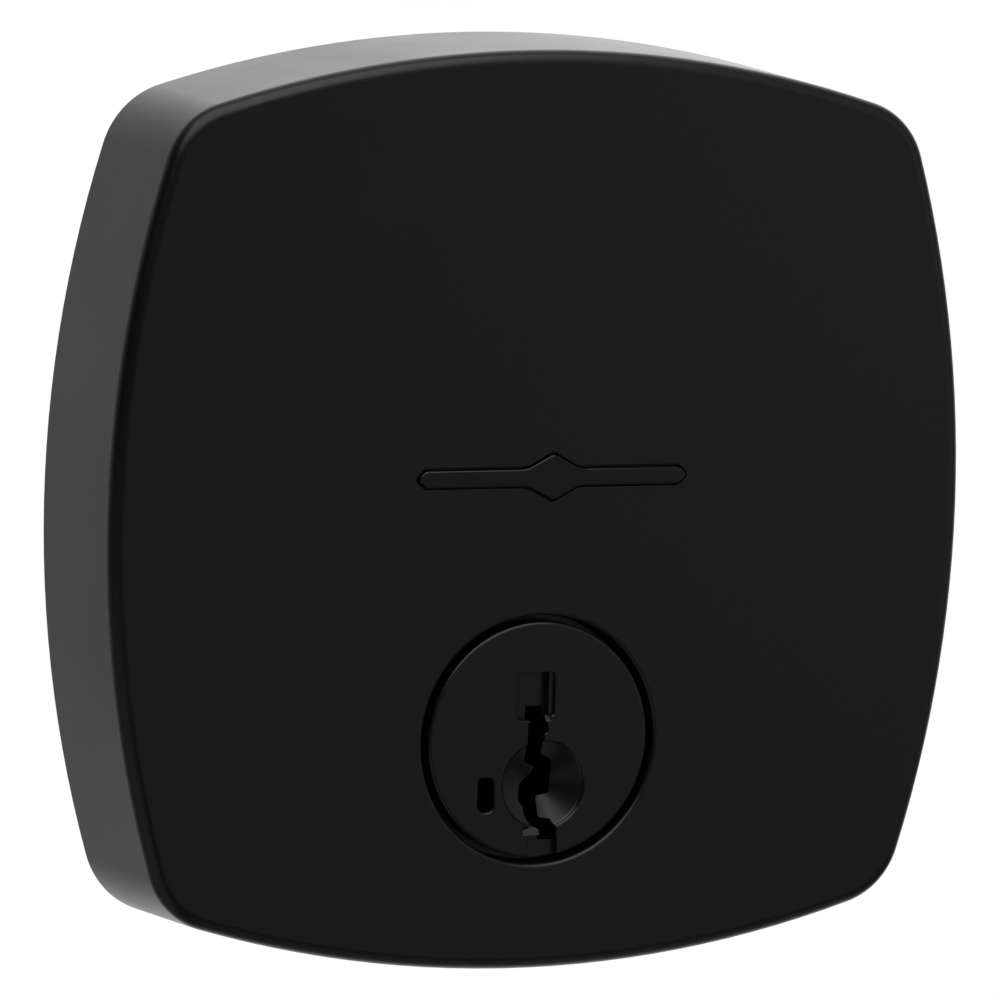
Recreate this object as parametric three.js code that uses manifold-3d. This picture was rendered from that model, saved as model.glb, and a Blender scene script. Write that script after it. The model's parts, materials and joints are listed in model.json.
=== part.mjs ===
// Exterior half of a low-profile deadbolt door lock: a bowed square cover with its key cylinder
// below the middle, and a small gear train from the cylinder up to the torque blade.
// Millimetres. The door's outside face is the plane y = 0, the torque blade turns about the
// Y axis, the lock's face looks towards -Y and +Z is up.

import * as THREE from "three";
import { mergeVertices } from "three/addons/utils/BufferGeometryUtils.js";
import Module from "manifold-3d";

const wasm = await Module();
wasm.setup();

// ---------------------------------------------------------------- driving dimensions

const COVER = {
  size: 66.7, // across the flats of the front outline
  sag: 4.8, // how far each bowed side stands out at its middle
  corner: 5.8,
  depth: 12.5,
  draft: 0.5, // the rear rim is this much larger on each side
  edge: 1.0, // radius of the front edge
  wall: 2.0,
  face: 2.4,
};
const GAP = 0.3; // clearance between pieces that rest on each other
const AXIS_Z = -16.5; // height of the key cylinder's axis
const FACE_Y = -COVER.depth;
const BOSS = { at: 22.5, radius: 3.2, hole: 1.25, holeFront: -9.4 }; // four, at both signs of at
const PLUG_HOLE = { radius: 9.1, lip: 0.3, depth: 4 };
const EMBLEM = {
  x: 0.5,
  z: 2.6,
  end: 10.6, // half its length
  barHalf: 0.6,
  lozenge: 1.7, // half the lozenge's height
  reach: 3.2, // half the lozenge's length
  thickness: 0.5,
  proud: 0.2,
  recess: 0.6,
  margin: 0.15,
};

const PLATE = { inset: 2.4, front: -4.0, rear: -2.5, bladeHole: 7.4, screwHole: 1.4, caseHole: 1.3 };
const GASKET = { inset: 2.5, hole: 27.3 };
const PLUG = {
  flangeRadius: 8.6,
  flangeRear: -9.7,
  radius: 7.3,
  rear: 12.7,
  tailRadius: 2.3,
  tailFlat: 1.6,
};
const DISH = { x: 0.5, z: -3.3, radius: 3.2, rim: 0.3, depth: 1.5, tip: 0.4 };
const KEY_RECESS = { x0: -1.6, x1: 1.4, z0: 1.4, z1: 4.6, depth: 1 };
const TIP_CHANNEL = { x0: -0.6, x1: 1.7, z0: -9, z1: -7.0, depth: 0.6 };
const TOOL_SLOT = { x0: -4.6, x1: -3.4, z0: -5.2, z1: -2.7 };
const COVER_STRIP = { x0: -1.7, x1: 1.3, y0: -8.6, y1: 10.3, z0: 6.35, z1: 6.95 };
const DRILL_PIN = { x: 5.4, z: 3.8, radius: 0.8, holeRadius: 1.0, front: -10.8, rear: -9.2 };
const PINS = { count: 5, first: -6.8, pitch: 3.81, x: -0.2, radius: 1.2, tip: -1.5, top: 1.6, travel: 2.9 };
const PIN_SPRING = { coil: 0.75, wire: 0.14, foot: 1.8, height: 4.2, turns: 4 };
const RACK = {
  back: -3.9,
  flank: -1.65,
  toothTip: -1.1,
  half: 0.7,
  toothHalf: 0.45,
  bottom: -1.4,
  top: 2.4,
  teeth: [-0.2, 0.8], // heights of the teeth, which the key pin's grooves take
};
const HOUSING = { radius: 9.3, bore: 7.6, front: -9.4, rear: 12.7, ear: 12.4, earRadius: 2.8 };
const EAR = { front: -8.6, rear: -4.3, hole: 1.25 };
const CARRIER = { radius: 7.15, front: -8.6, rear: 9.9, bottom: -5.35, top: 5.65, travel: 1.75 };
const CARRIER_SPRING = { x: -4.6, z: -3.5, coil: 0.6, wire: 0.13, front: 5.6, rear: 11.8, turns: 5 };
const SIDEBAR = { front: -6.9, rear: 8.9, outer: 7.2, inner: 4.9, half: 0.6, travel: 0.9 };
const SIDEBAR_SPRING = { x: -4.05, coil: 0.36, wire: 0.1, length: 1.2, turns: 2, afterPins: [1, 3] };
const CASE = { radius: 26.2, wall: 1.6, front: -2.2, floorFront: 13.0, floorRear: 14.0, rear: 16.1 };
const CASE_BOSS = { post: 5.0, screw: 2.6, screwHole: 1.3, spindle: 6.2, spindleBore: 4.2, spindleFront: 6 };
const CASE_NOTCH = { half: 5, top: -21 }; // where the low cylinder meets the drum's wall
const GEAR = { module: 0.75, front: 14.3, rear: 16.1, addendum: 0.55, dedendum: 0.85, backlash: 0.12 };
const TEETH = { plug: 12, idler: 10, spindle: 12 };
const IDLER = { axle: 1.2, bore: 1.5 };
const SPINDLE = { frontHub: 3.9, rearHub: 3.5, slot: 2.85, front: 11.4, rear: 18.5 };
const COVER_PLATE = { radius: 25.8, front: 16.4, rear: 17.3 };
const BLADE = {
  width: 4.8,
  thickness: 1.8,
  head: 3.4, // radius of the round head that keeps it in the lock
  headFront: 9.6,
  headRear: 10.9,
  tip: 62,
  tipLength: 2,
  tipShare: 0.7, // how wide the tip's end is, against the blade
  play: 45, // degrees that it turns freely in the spindle, each way
};
const BLADE_CAP = { radius: 3.9, bore: 2.8, front: 6.6, floor: 7.6, rear: 9.1 };
const POST = { x: 19.05, radius: 3.2, bore: 2.1, boreFront: 2, rear: 21, hex: 4.6, hexHeight: 1.4 };
const SCREW = { shank: 1.0, head: 2.2, headHeight: 1.4 };
const COVER_SCREW_LENGTH = 6.2;
const EAR_SCREW_LENGTH = 6.0;
const CASE_SCREW = { length: 20.5, radius: 21.4, angles: [35, 145, 325, 215] };
const PLUG_SCREW = { length: 4.6, shank: 0.85, head: 2.6, headHeight: 1.0, hole: 1.1, holeFront: 10.5 };

// ---------------------------------------------------------------- materials

function material(name, color, metalness, roughness) {
  return new THREE.MeshStandardMaterial({ name, color, metalness, roughness });
}

const BLACK_COAT = material("black_coat", 0x17181a, 0.2, 0.55);
const GLOSS_BLACK = material("gloss_black", 0x08080a, 0.3, 0.2);
const STEEL = material("steel", 0x9a9ca0, 1.0, 0.38);
const HARD_STEEL = material("hard_steel", 0x6d7075, 1.0, 0.3);
const ZINC = material("zinc", 0x8e9093, 0.9, 0.5);
const BRASS = material("brass", 0xb08d4a, 1.0, 0.35);
const BLACK_NYLON = material("black_nylon", 0x1c1c1e, 0.0, 0.6);
const RUBBER = material("rubber", 0x2a2a2b, 0.0, 0.95);

// ---------------------------------------------------------------- solids

// A closed three.js geometry as a solid.
function solid(geometry) {
  const bare = geometry.clone();
  bare.deleteAttribute("normal");
  bare.deleteAttribute("uv");
  const merged = mergeVertices(bare, 1e-4);
  return new wasm.Manifold(
    new wasm.Mesh({
      numProp: 3,
      vertProperties: new Float32Array(merged.attributes.position.array),
      triVerts: new Uint32Array(merged.index.array),
    }),
  );
}

// A solid back as a three.js geometry.
function surface(body) {
  const mesh = body.getMesh();
  const geometry = new THREE.BufferGeometry();
  geometry.setAttribute("position", new THREE.BufferAttribute(mesh.vertProperties, 3));
  geometry.setIndex(new THREE.BufferAttribute(mesh.triVerts, 1));
  geometry.computeVertexNormals();
  return geometry;
}

function joined(...bodies) {
  return bodies.reduce((all, body) => all.add(body));
}

function cut(body, ...tools) {
  return tools.reduce((left, tool) => left.subtract(tool), body);
}

// A shape drawn in x and z, standing from y0 to y1.
function prism(shape, y0, y1, curveSegments = 12) {
  const geometry = new THREE.ExtrudeGeometry(shape, {
    depth: y1 - y0,
    bevelEnabled: false,
    curveSegments,
  });
  return solid(geometry.rotateX(Math.PI / 2).translate(0, y1, 0));
}

function box(x0, x1, y0, y1, z0, z1) {
  const geometry = new THREE.BoxGeometry(x1 - x0, y1 - y0, z1 - z0);
  return solid(geometry.translate((x0 + x1) / 2, (y0 + y1) / 2, (z0 + z1) / 2));
}

// A round bar along Y.
function rod(radius, y0, y1, x = 0, z = 0, sides = 16) {
  const geometry = new THREE.CylinderGeometry(radius, radius, y1 - y0, sides);
  return solid(geometry.translate(x, (y0 + y1) / 2, z));
}

// A profile of [radius, y] points turned about an axis along Y.
function turned(profile, x = 0, z = 0, sides = 32) {
  const points = profile.map(([radius, y]) => new THREE.Vector2(radius, y));
  return solid(new THREE.LatheGeometry(points, sides).translate(x, 0, z));
}

// An upright round bar.
function upright(radius, z0, z1, x, y, sides = 12) {
  const geometry = new THREE.CylinderGeometry(radius, radius, z1 - z0, sides);
  return solid(geometry.rotateX(Math.PI / 2).translate(x, y, (z0 + z1) / 2));
}

function polygon(points) {
  return new THREE.Shape(points.map(([x, z]) => new THREE.Vector2(x, z)));
}

// The helix of a coil spring along +Z from z = 0.
class Helix extends THREE.Curve {
  constructor(radius, length, turns) {
    super();
    Object.assign(this, { radius, length, turns });
  }
  getPoint(t, target = new THREE.Vector3()) {
    const angle = t * this.turns * 2 * Math.PI;
    const x = this.radius * Math.cos(angle);
    const y = this.radius * Math.sin(angle);
    return target.set(x, y, t * this.length);
  }
}

// A coil spring along +Z. Its height includes the wire at both ends.
function spring(coilRadius, wireRadius, height, turns) {
  const wire = new THREE.Shape().absarc(0, 0, wireRadius, 0, 2 * Math.PI);
  const path = new Helix(coilRadius, height - 2 * wireRadius, turns);
  const geometry = new THREE.ExtrudeGeometry(wire, {
    steps: Math.round(turns * 7),
    curveSegments: 2,
    extrudePath: path,
  });
  return geometry.translate(0, 0, wireRadius);
}

const root = new THREE.Group();

function add(name, body, look, place = {}) {
  const geometry = body.isBufferGeometry ? body : surface(body);
  const mesh = new THREE.Mesh(geometry, look);
  mesh.name = name;
  mesh.position.set(place.x ?? 0, place.y ?? 0, place.z ?? 0);
  mesh.rotation.set(place.turnX ?? 0, place.turnY ?? 0, 0);
  (place.group ?? root).add(mesh);
  return mesh;
}

// ---------------------------------------------------------------- the bowed square

// Each side is an arc of bowRadius about a centre bowOffset beyond the middle, and each corner
// is an arc about (cornerAt, cornerAt) that touches two of them. An inset keeps the centres.
const half = COVER.size / 2;
const bowRadius = ((half - COVER.sag) ** 2 + COVER.sag ** 2) / (2 * COVER.sag);
const bowOffset = bowRadius - half;
const cornerAt = (Math.sqrt(2 * (bowRadius - COVER.corner) ** 2 - bowOffset ** 2) - bowOffset) / 2;
const bowAngle = Math.atan2(cornerAt, cornerAt + bowOffset);

function bowedSquare(inset = 0) {
  const shape = new THREE.Shape();
  for (let side = 0; side < 4; side += 1) {
    const turn = (side * Math.PI) / 2;
    const bowX = -bowOffset * Math.cos(turn);
    const bowZ = -bowOffset * Math.sin(turn);
    shape.absarc(bowX, bowZ, bowRadius - inset, turn - bowAngle, turn + bowAngle);
    const diagonal = turn + Math.PI / 4;
    const cornerX = cornerAt * Math.SQRT2 * Math.cos(diagonal);
    const cornerZ = cornerAt * Math.SQRT2 * Math.sin(diagonal);
    const next = turn + Math.PI / 2;
    shape.absarc(cornerX, cornerZ, COVER.corner - inset, turn + bowAngle, next - bowAngle);
  }
  return shape;
}

// A solid through a stack of outlines, each [inset, y] from front to rear.
function bowedLoft(levels) {
  const rings = levels.map(([inset, y]) => {
    const points = bowedSquare(inset).getPoints(3).slice(0, -1);
    const kept = points.filter((p, i) => p.distanceTo(points.at(i - 1)) > 1e-6);
    return kept.map((p) => [p.x, y, p.y]);
  });
  const count = rings[0].length;
  const vertices = rings.flat(2);
  const faces = [];
  for (let level = 0; level + 1 < rings.length; level += 1)
    for (let i = 0; i < count; i += 1) {
      const a = level * count + i;
      const b = level * count + ((i + 1) % count);
      faces.push(a, a + count, b, b, a + count, b + count);
    }
  const last = (rings.length - 1) * count;
  for (let i = 1; i + 1 < count; i += 1) {
    faces.push(0, i, i + 1);
    faces.push(last, last + i + 1, last + i);
  }
  const geometry = new THREE.BufferGeometry();
  geometry.setAttribute("position", new THREE.Float32BufferAttribute(vertices, 3));
  geometry.setIndex(faces);
  return solid(geometry);
}

// ---------------------------------------------------------------- cover side

// The slim relief on the front: a bar with a lozenge at its middle.
function emblemShape(margin = 0) {
  const barHalf = EMBLEM.barHalf + margin;
  const lozenge = EMBLEM.lozenge + margin;
  const reach = EMBLEM.reach + margin;
  const end = EMBLEM.end + margin;
  const neck = reach * (1 - barHalf / lozenge);
  return polygon([
    [-end, 0],
    [-end + barHalf, -barHalf],
    [-neck, -barHalf],
    [0, -lozenge],
    [neck, -barHalf],
    [end - barHalf, -barHalf],
    [end, 0],
    [end - barHalf, barHalf],
    [neck, barHalf],
    [0, lozenge],
    [-neck, barHalf],
    [-end + barHalf, barHalf],
  ]);
}

function cornerPlaces() {
  const places = [];
  for (const x of [-BOSS.at, BOSS.at]) for (const z of [BOSS.at, -BOSS.at]) places.push([x, z]);
  return places;
}

function frontCover() {
  const { depth, draft, edge, wall, face } = COVER;
  const levels = [90, 60, 30, 0].map((degrees) => {
    const angle = THREE.MathUtils.degToRad(degrees);
    return [edge * (1 - Math.cos(angle)), -(depth - edge + edge * Math.sin(angle))];
  });
  const outside = bowedLoft([...levels, [-draft, 0]]);
  const inside = bowedLoft([
    [wall, -(depth - face)],
    [wall, 1],
  ]);
  let body = cut(outside, inside);
  for (const [x, z] of cornerPlaces())
    body = joined(body, rod(BOSS.radius, face - depth - 1, PLATE.front - GAP, x, z, 14));
  for (const [x, z] of cornerPlaces())
    body = cut(body, rod(BOSS.hole, BOSS.holeFront, PLATE.front, x, z, 10));
  const above = 0.1;
  const plugHole = turned(
    [
      [0, FACE_Y - above],
      [PLUG_HOLE.radius + PLUG_HOLE.lip + above, FACE_Y - above],
      [PLUG_HOLE.radius, FACE_Y + PLUG_HOLE.lip],
      [PLUG_HOLE.radius, FACE_Y + PLUG_HOLE.depth],
      [0, FACE_Y + PLUG_HOLE.depth],
    ],
    0,
    AXIS_Z,
    48,
  );
  const recess = prism(emblemShape(EMBLEM.margin), FACE_Y - 1, FACE_Y + EMBLEM.recess);
  return cut(body, plugHole, recess.translate([EMBLEM.x, 0, EMBLEM.z]));
}

function emblem() {
  const front = FACE_Y - EMBLEM.proud;
  const plate = prism(emblemShape(), front, front + EMBLEM.thickness);
  return plate.translate([EMBLEM.x, 0, EMBLEM.z]);
}

function casePlaces() {
  return CASE_SCREW.angles.map((degrees) => {
    const angle = THREE.MathUtils.degToRad(degrees);
    return [CASE_SCREW.radius * Math.cos(angle), CASE_SCREW.radius * Math.sin(angle)];
  });
}

function backPlate() {
  const { inset, front, rear, bladeHole, screwHole, caseHole } = PLATE;
  const sheet = prism(bowedSquare(inset), front, rear, 3);
  const hole = (radius, x, z, sides) => rod(radius, front - 1, rear + 1, x, z, sides);
  const holes = [hole(HOUSING.radius + 0.4, 0, AXIS_Z, 32), hole(bladeHole, 0, 0, 32)];
  for (const x of [-POST.x, POST.x]) holes.push(hole(POST.radius + GAP, x, 0));
  for (const [x, z] of cornerPlaces()) holes.push(hole(screwHole, x, z, 10));
  for (const [x, z] of casePlaces()) holes.push(hole(caseHole, x, z, 10));
  for (const x of [-HOUSING.ear, HOUSING.ear]) holes.push(hole(screwHole, x, AXIS_Z, 10));
  return cut(sheet, ...holes);
}

// The soft ring between the back plate and the door.
function doorGasket() {
  const front = PLATE.rear + GAP;
  const sheet = prism(bowedSquare(GASKET.inset), front, 0, 3);
  const headRoom = SCREW.head + 0.5;
  const holes = cornerPlaces().map(([x, z]) => rod(headRoom, front - 1, 1, x, z, 14));
  return cut(sheet, rod(GASKET.hole, front - 1, 1, 0, 0, 48), ...holes);
}

// A pan-head screw that points towards -Y, with a cross recess in its head. The origin is
// under the head.
function screw(length, shank = SCREW.shank, head = SCREW.head, headHeight = SCREW.headHeight) {
  const body = turned(
    [
      [0, -length],
      [shank, -length + shank],
      [shank, 0],
      [head, 0],
      [head, headHeight * 0.5],
      [head * 0.7, headHeight],
      [0, headHeight],
    ],
    0,
    0,
    10,
  );
  const slot = head * 0.62;
  const slotHalf = 0.25;
  const floor = headHeight * 0.45;
  const bars = [
    box(-slot, slot, floor, headHeight + 1, -slotHalf, slotHalf),
    box(-slotHalf, slotHalf, floor, headHeight + 1, -slot, slot),
  ];
  return cut(body, ...bars);
}

// ---------------------------------------------------------------- cylinder

function cylinderHousing() {
  const { radius, bore, front, rear, ear, earRadius } = HOUSING;
  let body = rod(radius, front, rear, 0, 0, 36);
  for (const side of [-1, 1]) {
    const reach = side * ear;
    const [x0, x1] = [Math.min(0, reach), Math.max(0, reach)];
    const arm = box(x0, x1, EAR.front, EAR.rear, -earRadius, earRadius);
    body = joined(body, arm, rod(earRadius, EAR.front, EAR.rear, reach, 0));
  }
  const tools = [rod(bore, front - 1, rear + 1, 0, 0, 36)];
  for (const side of [-1, 1]) tools.push(rod(EAR.hole, EAR.front - 1, EAR.rear + 1, side * ear, 0));
  // Grooves for the sidebar: at the left where it locks, and at the top for re-keying.
  const grooveHalf = SIDEBAR.half + GAP;
  const grooveFront = SIDEBAR.front - 0.4;
  const grooveRear = SIDEBAR.rear + 0.4;
  const grooveFloor = bore + SIDEBAR.travel;
  tools.push(box(-grooveFloor, 0, grooveFront, grooveRear, -grooveHalf, grooveHalf));
  tools.push(box(-grooveHalf, grooveHalf, grooveFront, grooveRear, 0, grooveFloor));
  return cut(body, ...tools);
}

function pinPlaces() {
  return Array.from({ length: PINS.count }, (_, i) => PINS.first + i * PINS.pitch);
}

// The slot for the key, with its wards, drawn about the plug's axis.
function keyway() {
  return polygon([
    [-0.7, 2.35],
    [-0.7, 1.3],
    [-0.82, 1.1],
    [-0.78, -1.75],
    [0.1, -2.05],
    [0.05, -2.5],
    [-1.05, -3.35],
    [-1.15, -4.6],
    [-0.8, -4.95],
    [-0.75, -5.6],
    [-0.35, -6.3],
    [0.35, -6.6],
    [0.35, -7.4],
    [1.6, -7.4],
    [1.65, -6.45],
    [1.25, -5.85],
    [0.38, -5.75],
    [0.38, -4.3],
    [1.35, -4.1],
    [1.45, -3.85],
    [1.45, -1.85],
    [1.25, -1.5],
    [0.5, -1.15],
    [0.47, 0.4],
    [0.75, 0.5],
    [0.75, 1.15],
    [0.55, 1.3],
    [0.65, 2.35],
  ]);
}

// The carrier's room in the plug, or the carrier itself with a margin of 0. Its right side
// steps back below stepZ to leave the keyway its wall.
function carrierSection(margin) {
  const left = -9;
  const upperRight = -1.6 + margin;
  const lowerRight = -2.45 + margin;
  const bottom = CARRIER.bottom - margin;
  const top = CARRIER.top + margin;
  const stepZ = -1.35 - margin;
  return polygon([
    [left, bottom],
    [lowerRight, bottom],
    [lowerRight, stepZ],
    [upperRight, stepZ],
    [upperRight, top],
    [left, top],
  ]);
}

function doubleD(radius, flat) {
  const angle = Math.acos(flat / radius);
  const shape = new THREE.Shape();
  shape.absarc(0, 0, radius, angle, Math.PI - angle);
  shape.absarc(0, 0, radius, Math.PI + angle, 2 * Math.PI - angle);
  return shape;
}

// The round hollow in the plug's face about the lower part of the keyway: a short rim, then
// a cone.
function keyDish() {
  const { x, z, radius, rim, depth, tip } = DISH;
  const above = 0.2;
  const profile = [
    [0, FACE_Y - above],
    [radius, FACE_Y - above],
    [radius, FACE_Y + rim / 2],
    [radius - rim / 2, FACE_Y + rim],
    [tip, FACE_Y + depth],
    [0, FACE_Y + depth],
  ];
  return turned(profile, x, z, 24);
}

// A box-shaped pocket in the plug's face.
function facePocket({ x0, x1, z0, z1, depth }) {
  return box(x0, x1, FACE_Y - 1, FACE_Y + depth, z0, z1);
}

// The window from a pin's hole into the carrier's room, for the rack's teeth to rise in and to
// slide away through.
function rackWindow(y) {
  const clear = 0.25;
  const front = y - RACK.toothHalf - clear;
  const rear = y + RACK.toothHalf + CARRIER.travel + clear;
  const bottom = RACK.teeth[0] - 0.15 - clear;
  const top = RACK.teeth[1] + 0.15 + PINS.travel + clear;
  return box(RACK.flank, RACK.toothTip + 0.15, front, rear, bottom, top);
}

function plug() {
  const { flangeRadius, flangeRear, radius, rear, tailRadius, tailFlat } = PLUG;
  const lip = 0.25;
  const barrel = turned(
    [
      [0, FACE_Y],
      [flangeRadius - lip, FACE_Y],
      [flangeRadius, FACE_Y + lip],
      [flangeRadius, flangeRear],
      [radius, flangeRear],
      [radius, rear],
      [0, rear],
    ],
    0,
    0,
    48,
  );
  const tail = prism(doubleD(tailRadius, tailFlat), rear - 1, GEAR.rear, 6);
  const { x0, x1, y0, y1, z0 } = COVER_STRIP;
  const clear = 0.25;
  const slot = TOOL_SLOT;
  const keyEnd = rear - 0.8;
  const tools = [
    prism(keyway(), FACE_Y - 1, keyEnd),
    keyDish(),
    facePocket(KEY_RECESS),
    facePocket(TIP_CHANNEL),
    box(slot.x0, slot.x1, FACE_Y - 1, CARRIER.front, slot.z0, slot.z1),
    prism(carrierSection(clear), CARRIER.front - GAP, CARRIER.rear + CARRIER.travel + GAP),
    box(x0 - clear, x1 + clear, y0 - clear, y1 + clear, z0 - GAP, radius + 1),
    rod(PLUG_SCREW.hole, PLUG_SCREW.holeFront, GEAR.rear + 1),
  ];
  for (const y of pinPlaces()) {
    tools.push(upright(PINS.radius + 0.2, PINS.tip - 0.1, radius + 0.2, PINS.x, y));
    tools.push(rackWindow(y));
  }
  for (const x of [-DRILL_PIN.x, DRILL_PIN.x])
    tools.push(rod(DRILL_PIN.holeRadius, DRILL_PIN.front - GAP, -3, x, DRILL_PIN.z));
  return cut(joined(barrel, tail), ...tools);
}

function keyPin() {
  const { radius, tip, top } = PINS;
  const profile = [
    [0, tip],
    [radius * 0.3, tip],
    [radius, tip + 0.8],
    [radius, top],
    [0, top],
  ];
  const points = profile.map(([r, y]) => new THREE.Vector2(r, y));
  const body = solid(new THREE.LatheGeometry(points, 12).rotateX(Math.PI / 2));
  // Grooves on the left flank take the rack's teeth.
  const grooves = RACK.teeth.map((z) => box(-2, -0.55, -2, 2, z - 0.3, z + 0.3));
  return cut(body, ...grooves);
}

function rack() {
  const { back, flank, toothTip, half: halfWidth, toothHalf, bottom, top } = RACK;
  const block = box(back, flank, -halfWidth, halfWidth, bottom, top);
  const teeth = RACK.teeth.map((z) =>
    box(flank - 0.05, toothTip, -toothHalf, toothHalf, z - 0.15, z + 0.15),
  );
  const notch = box(back - 1, back + 0.4, -2, 2, -0.35, 0.35);
  return cut(joined(block, ...teeth), notch);
}

// The sidebar's springs stand halfway between two pins.
function seatPlace(pin) {
  return PINS.first + (pin - 0.5) * PINS.pitch;
}

function carrier() {
  const { radius, front, rear } = CARRIER;
  const block = prism(carrierSection(0), front, rear);
  const trimmed = block.intersect(rod(radius, front, rear, 0, 0, 48));
  const clear = 0.25;
  const rackBack = RACK.back - clear + 0.05;
  const rackHalf = RACK.half + clear;
  const rackTop = RACK.top + PINS.travel + clear;
  const tools = [];
  for (const y of pinPlaces()) {
    tools.push(box(rackBack, -1, y - rackHalf, y + rackHalf, RACK.bottom - GAP, rackTop));
  }
  // The sidebar's rail passes through here, wherever the carrier stands.
  tools.push(box(-5, -4, front - 1, SIDEBAR.rear + 0.4, -0.5, 0.5));
  const barHalf = SIDEBAR.half + clear;
  tools.push(box(-9, 0.2 - SIDEBAR.inner, front - 1, SIDEBAR.rear + 0.4, -barHalf, barHalf));
  const well = CARRIER_SPRING;
  tools.push(rod(well.coil + 0.35, well.front, rear + 1, well.x, well.z));
  for (const pin of SIDEBAR_SPRING.afterPins) {
    const radius = SIDEBAR_SPRING.coil + 0.29;
    const hole = new THREE.CylinderGeometry(radius, radius, 2.2, 12).rotateZ(Math.PI / 2);
    tools.push(solid(hole.translate(-3.8, seatPlace(pin), 0)));
  }
  return cut(trimmed, ...tools);
}

function sidebar() {
  const { front, rear, outer, inner, half: barHalf } = SIDEBAR;
  const tip = barHalf * 0.45;
  const slope = 0.35;
  const section = polygon([
    [-outer, -tip],
    [-outer + slope, -barHalf],
    [-inner, -barHalf],
    [-inner, barHalf],
    [-outer + slope, barHalf],
    [-outer, tip],
  ]);
  const railTip = RACK.back - GAP;
  // One rail reaches to all five racks, and the springs press on it wherever the carrier stands.
  const rail = box(-inner - 0.2, railTip, front, rear, -0.25, 0.25);
  return joined(prism(section, front, rear), rail);
}

function pinSpringCover() {
  const { x0, x1, y0, y1, z0, z1 } = COVER_STRIP;
  return box(x0, x1, y0, y1, z0, z1);
}

// ---------------------------------------------------------------- gears

// An involute gear outline with a tooth pointing along +z at phase 0, in tooth pitches.
function gearShape(teeth, phase) {
  const pitchRadius = (GEAR.module * teeth) / 2;
  const base = pitchRadius * Math.cos(PRESSURE_ANGLE);
  const tip = pitchRadius + GEAR.addendum;
  const foot = pitchRadius - GEAR.dedendum;
  const involute = (radius) => {
    const tangent = Math.sqrt(Math.max(0, (radius / base) ** 2 - 1));
    return tangent - Math.atan(tangent);
  };
  const halfTooth = Math.PI / (2 * teeth) - GEAR.backlash / (2 * pitchRadius);
  const flank = [foot, base, pitchRadius, tip];
  const points = [];
  for (let i = 0; i < teeth; i += 1) {
    const middle = Math.PI / 2 + ((i + phase) * 2 * Math.PI) / teeth;
    const at = (radius, side) => {
      const lean = halfTooth + involute(pitchRadius) - involute(Math.max(radius, base));
      const angle = middle + side * lean;
      return [radius * Math.cos(angle), radius * Math.sin(angle)];
    };
    for (const radius of flank) points.push(at(radius, -1));
    for (const radius of [...flank].reverse()) points.push(at(radius, 1));
  }
  return polygon(points);
}

const IDLER_Z = AXIS_Z + (GEAR.module * (TEETH.plug + TEETH.idler)) / 2;
const TAIL_HOLE = PLUG_SCREW.head + 0.6; // clears the plug's tail and its screw
const PRESSURE_ANGLE = THREE.MathUtils.degToRad(20);

function plugGear() {
  const body = prism(gearShape(TEETH.plug, 0.5), GEAR.front, GEAR.rear);
  const clear = 0.2;
  const hole = doubleD(PLUG.tailRadius + clear, PLUG.tailFlat + clear);
  return cut(body, prism(hole, GEAR.front - 1, GEAR.rear + 1, 6));
}

function idlerGear() {
  const body = prism(gearShape(TEETH.idler, 0), GEAR.front, GEAR.rear);
  return cut(body, rod(IDLER.bore, GEAR.front - 1, GEAR.rear + 1, 0, 0, 20));
}

// The slot through the spindle lets the flat blade swing by its play each way.
function bowTie() {
  const radius = SPINDLE.slot;
  const halfGap = BLADE.thickness / 2 + 0.2;
  const play = THREE.MathUtils.degToRad(BLADE.play);
  const apex = halfGap / Math.cos(play);
  const start = Math.PI / 2 - play - Math.asin(halfGap / radius);
  const shape = new THREE.Shape();
  shape.moveTo(apex, 0);
  shape.absarc(0, 0, radius, start, Math.PI - start);
  shape.lineTo(-apex, 0);
  shape.absarc(0, 0, radius, Math.PI + start, 2 * Math.PI - start);
  shape.lineTo(apex, 0);
  return shape;
}

function spindleGear() {
  const { frontHub, rearHub, front, rear } = SPINDLE;
  const gear = prism(gearShape(TEETH.spindle, 0.5), GEAR.front, GEAR.rear);
  const hubs = [
    rod(frontHub, front, GEAR.front + 0.5, 0, 0, 24),
    rod(rearHub, GEAR.rear - 0.5, rear, 0, 0, 24),
  ];
  return cut(joined(gear, ...hubs), prism(bowTie(), front - 1, rear + 1, 5));
}

function torqueBlade() {
  const { width, thickness, headFront, headRear, tip, tipLength, tipShare } = BLADE;
  const head = rod(BLADE.head, headFront, headRear, 0, 0, 24);
  const shoulder = tip - tipLength;
  const [x, z] = [thickness / 2, width / 2];
  const bar = box(-x, x, headRear - 0.5, shoulder, -z, z);
  // A four-sided frustum, one unit across at its wide end, stretched to the bar's section.
  const corner = Math.SQRT1_2;
  const taper = new THREE.CylinderGeometry(tipShare * corner, corner, tipLength, 4);
  taper.rotateY(Math.PI / 4).scale(thickness, 1, width).translate(0, tip - tipLength / 2, 0);
  return joined(head, bar, solid(taper));
}

function idlerAxle() {
  const end = COVER_PLATE.rear + 0.5;
  const lip = 0.3;
  const profile = [
    [0, CASE.floorFront],
    [IDLER.axle, CASE.floorFront],
    [IDLER.axle, end - lip],
    [IDLER.axle - lip, end],
    [0, end],
  ];
  return turned(profile, 0, 0, 20);
}

// ---------------------------------------------------------------- gear case

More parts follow.
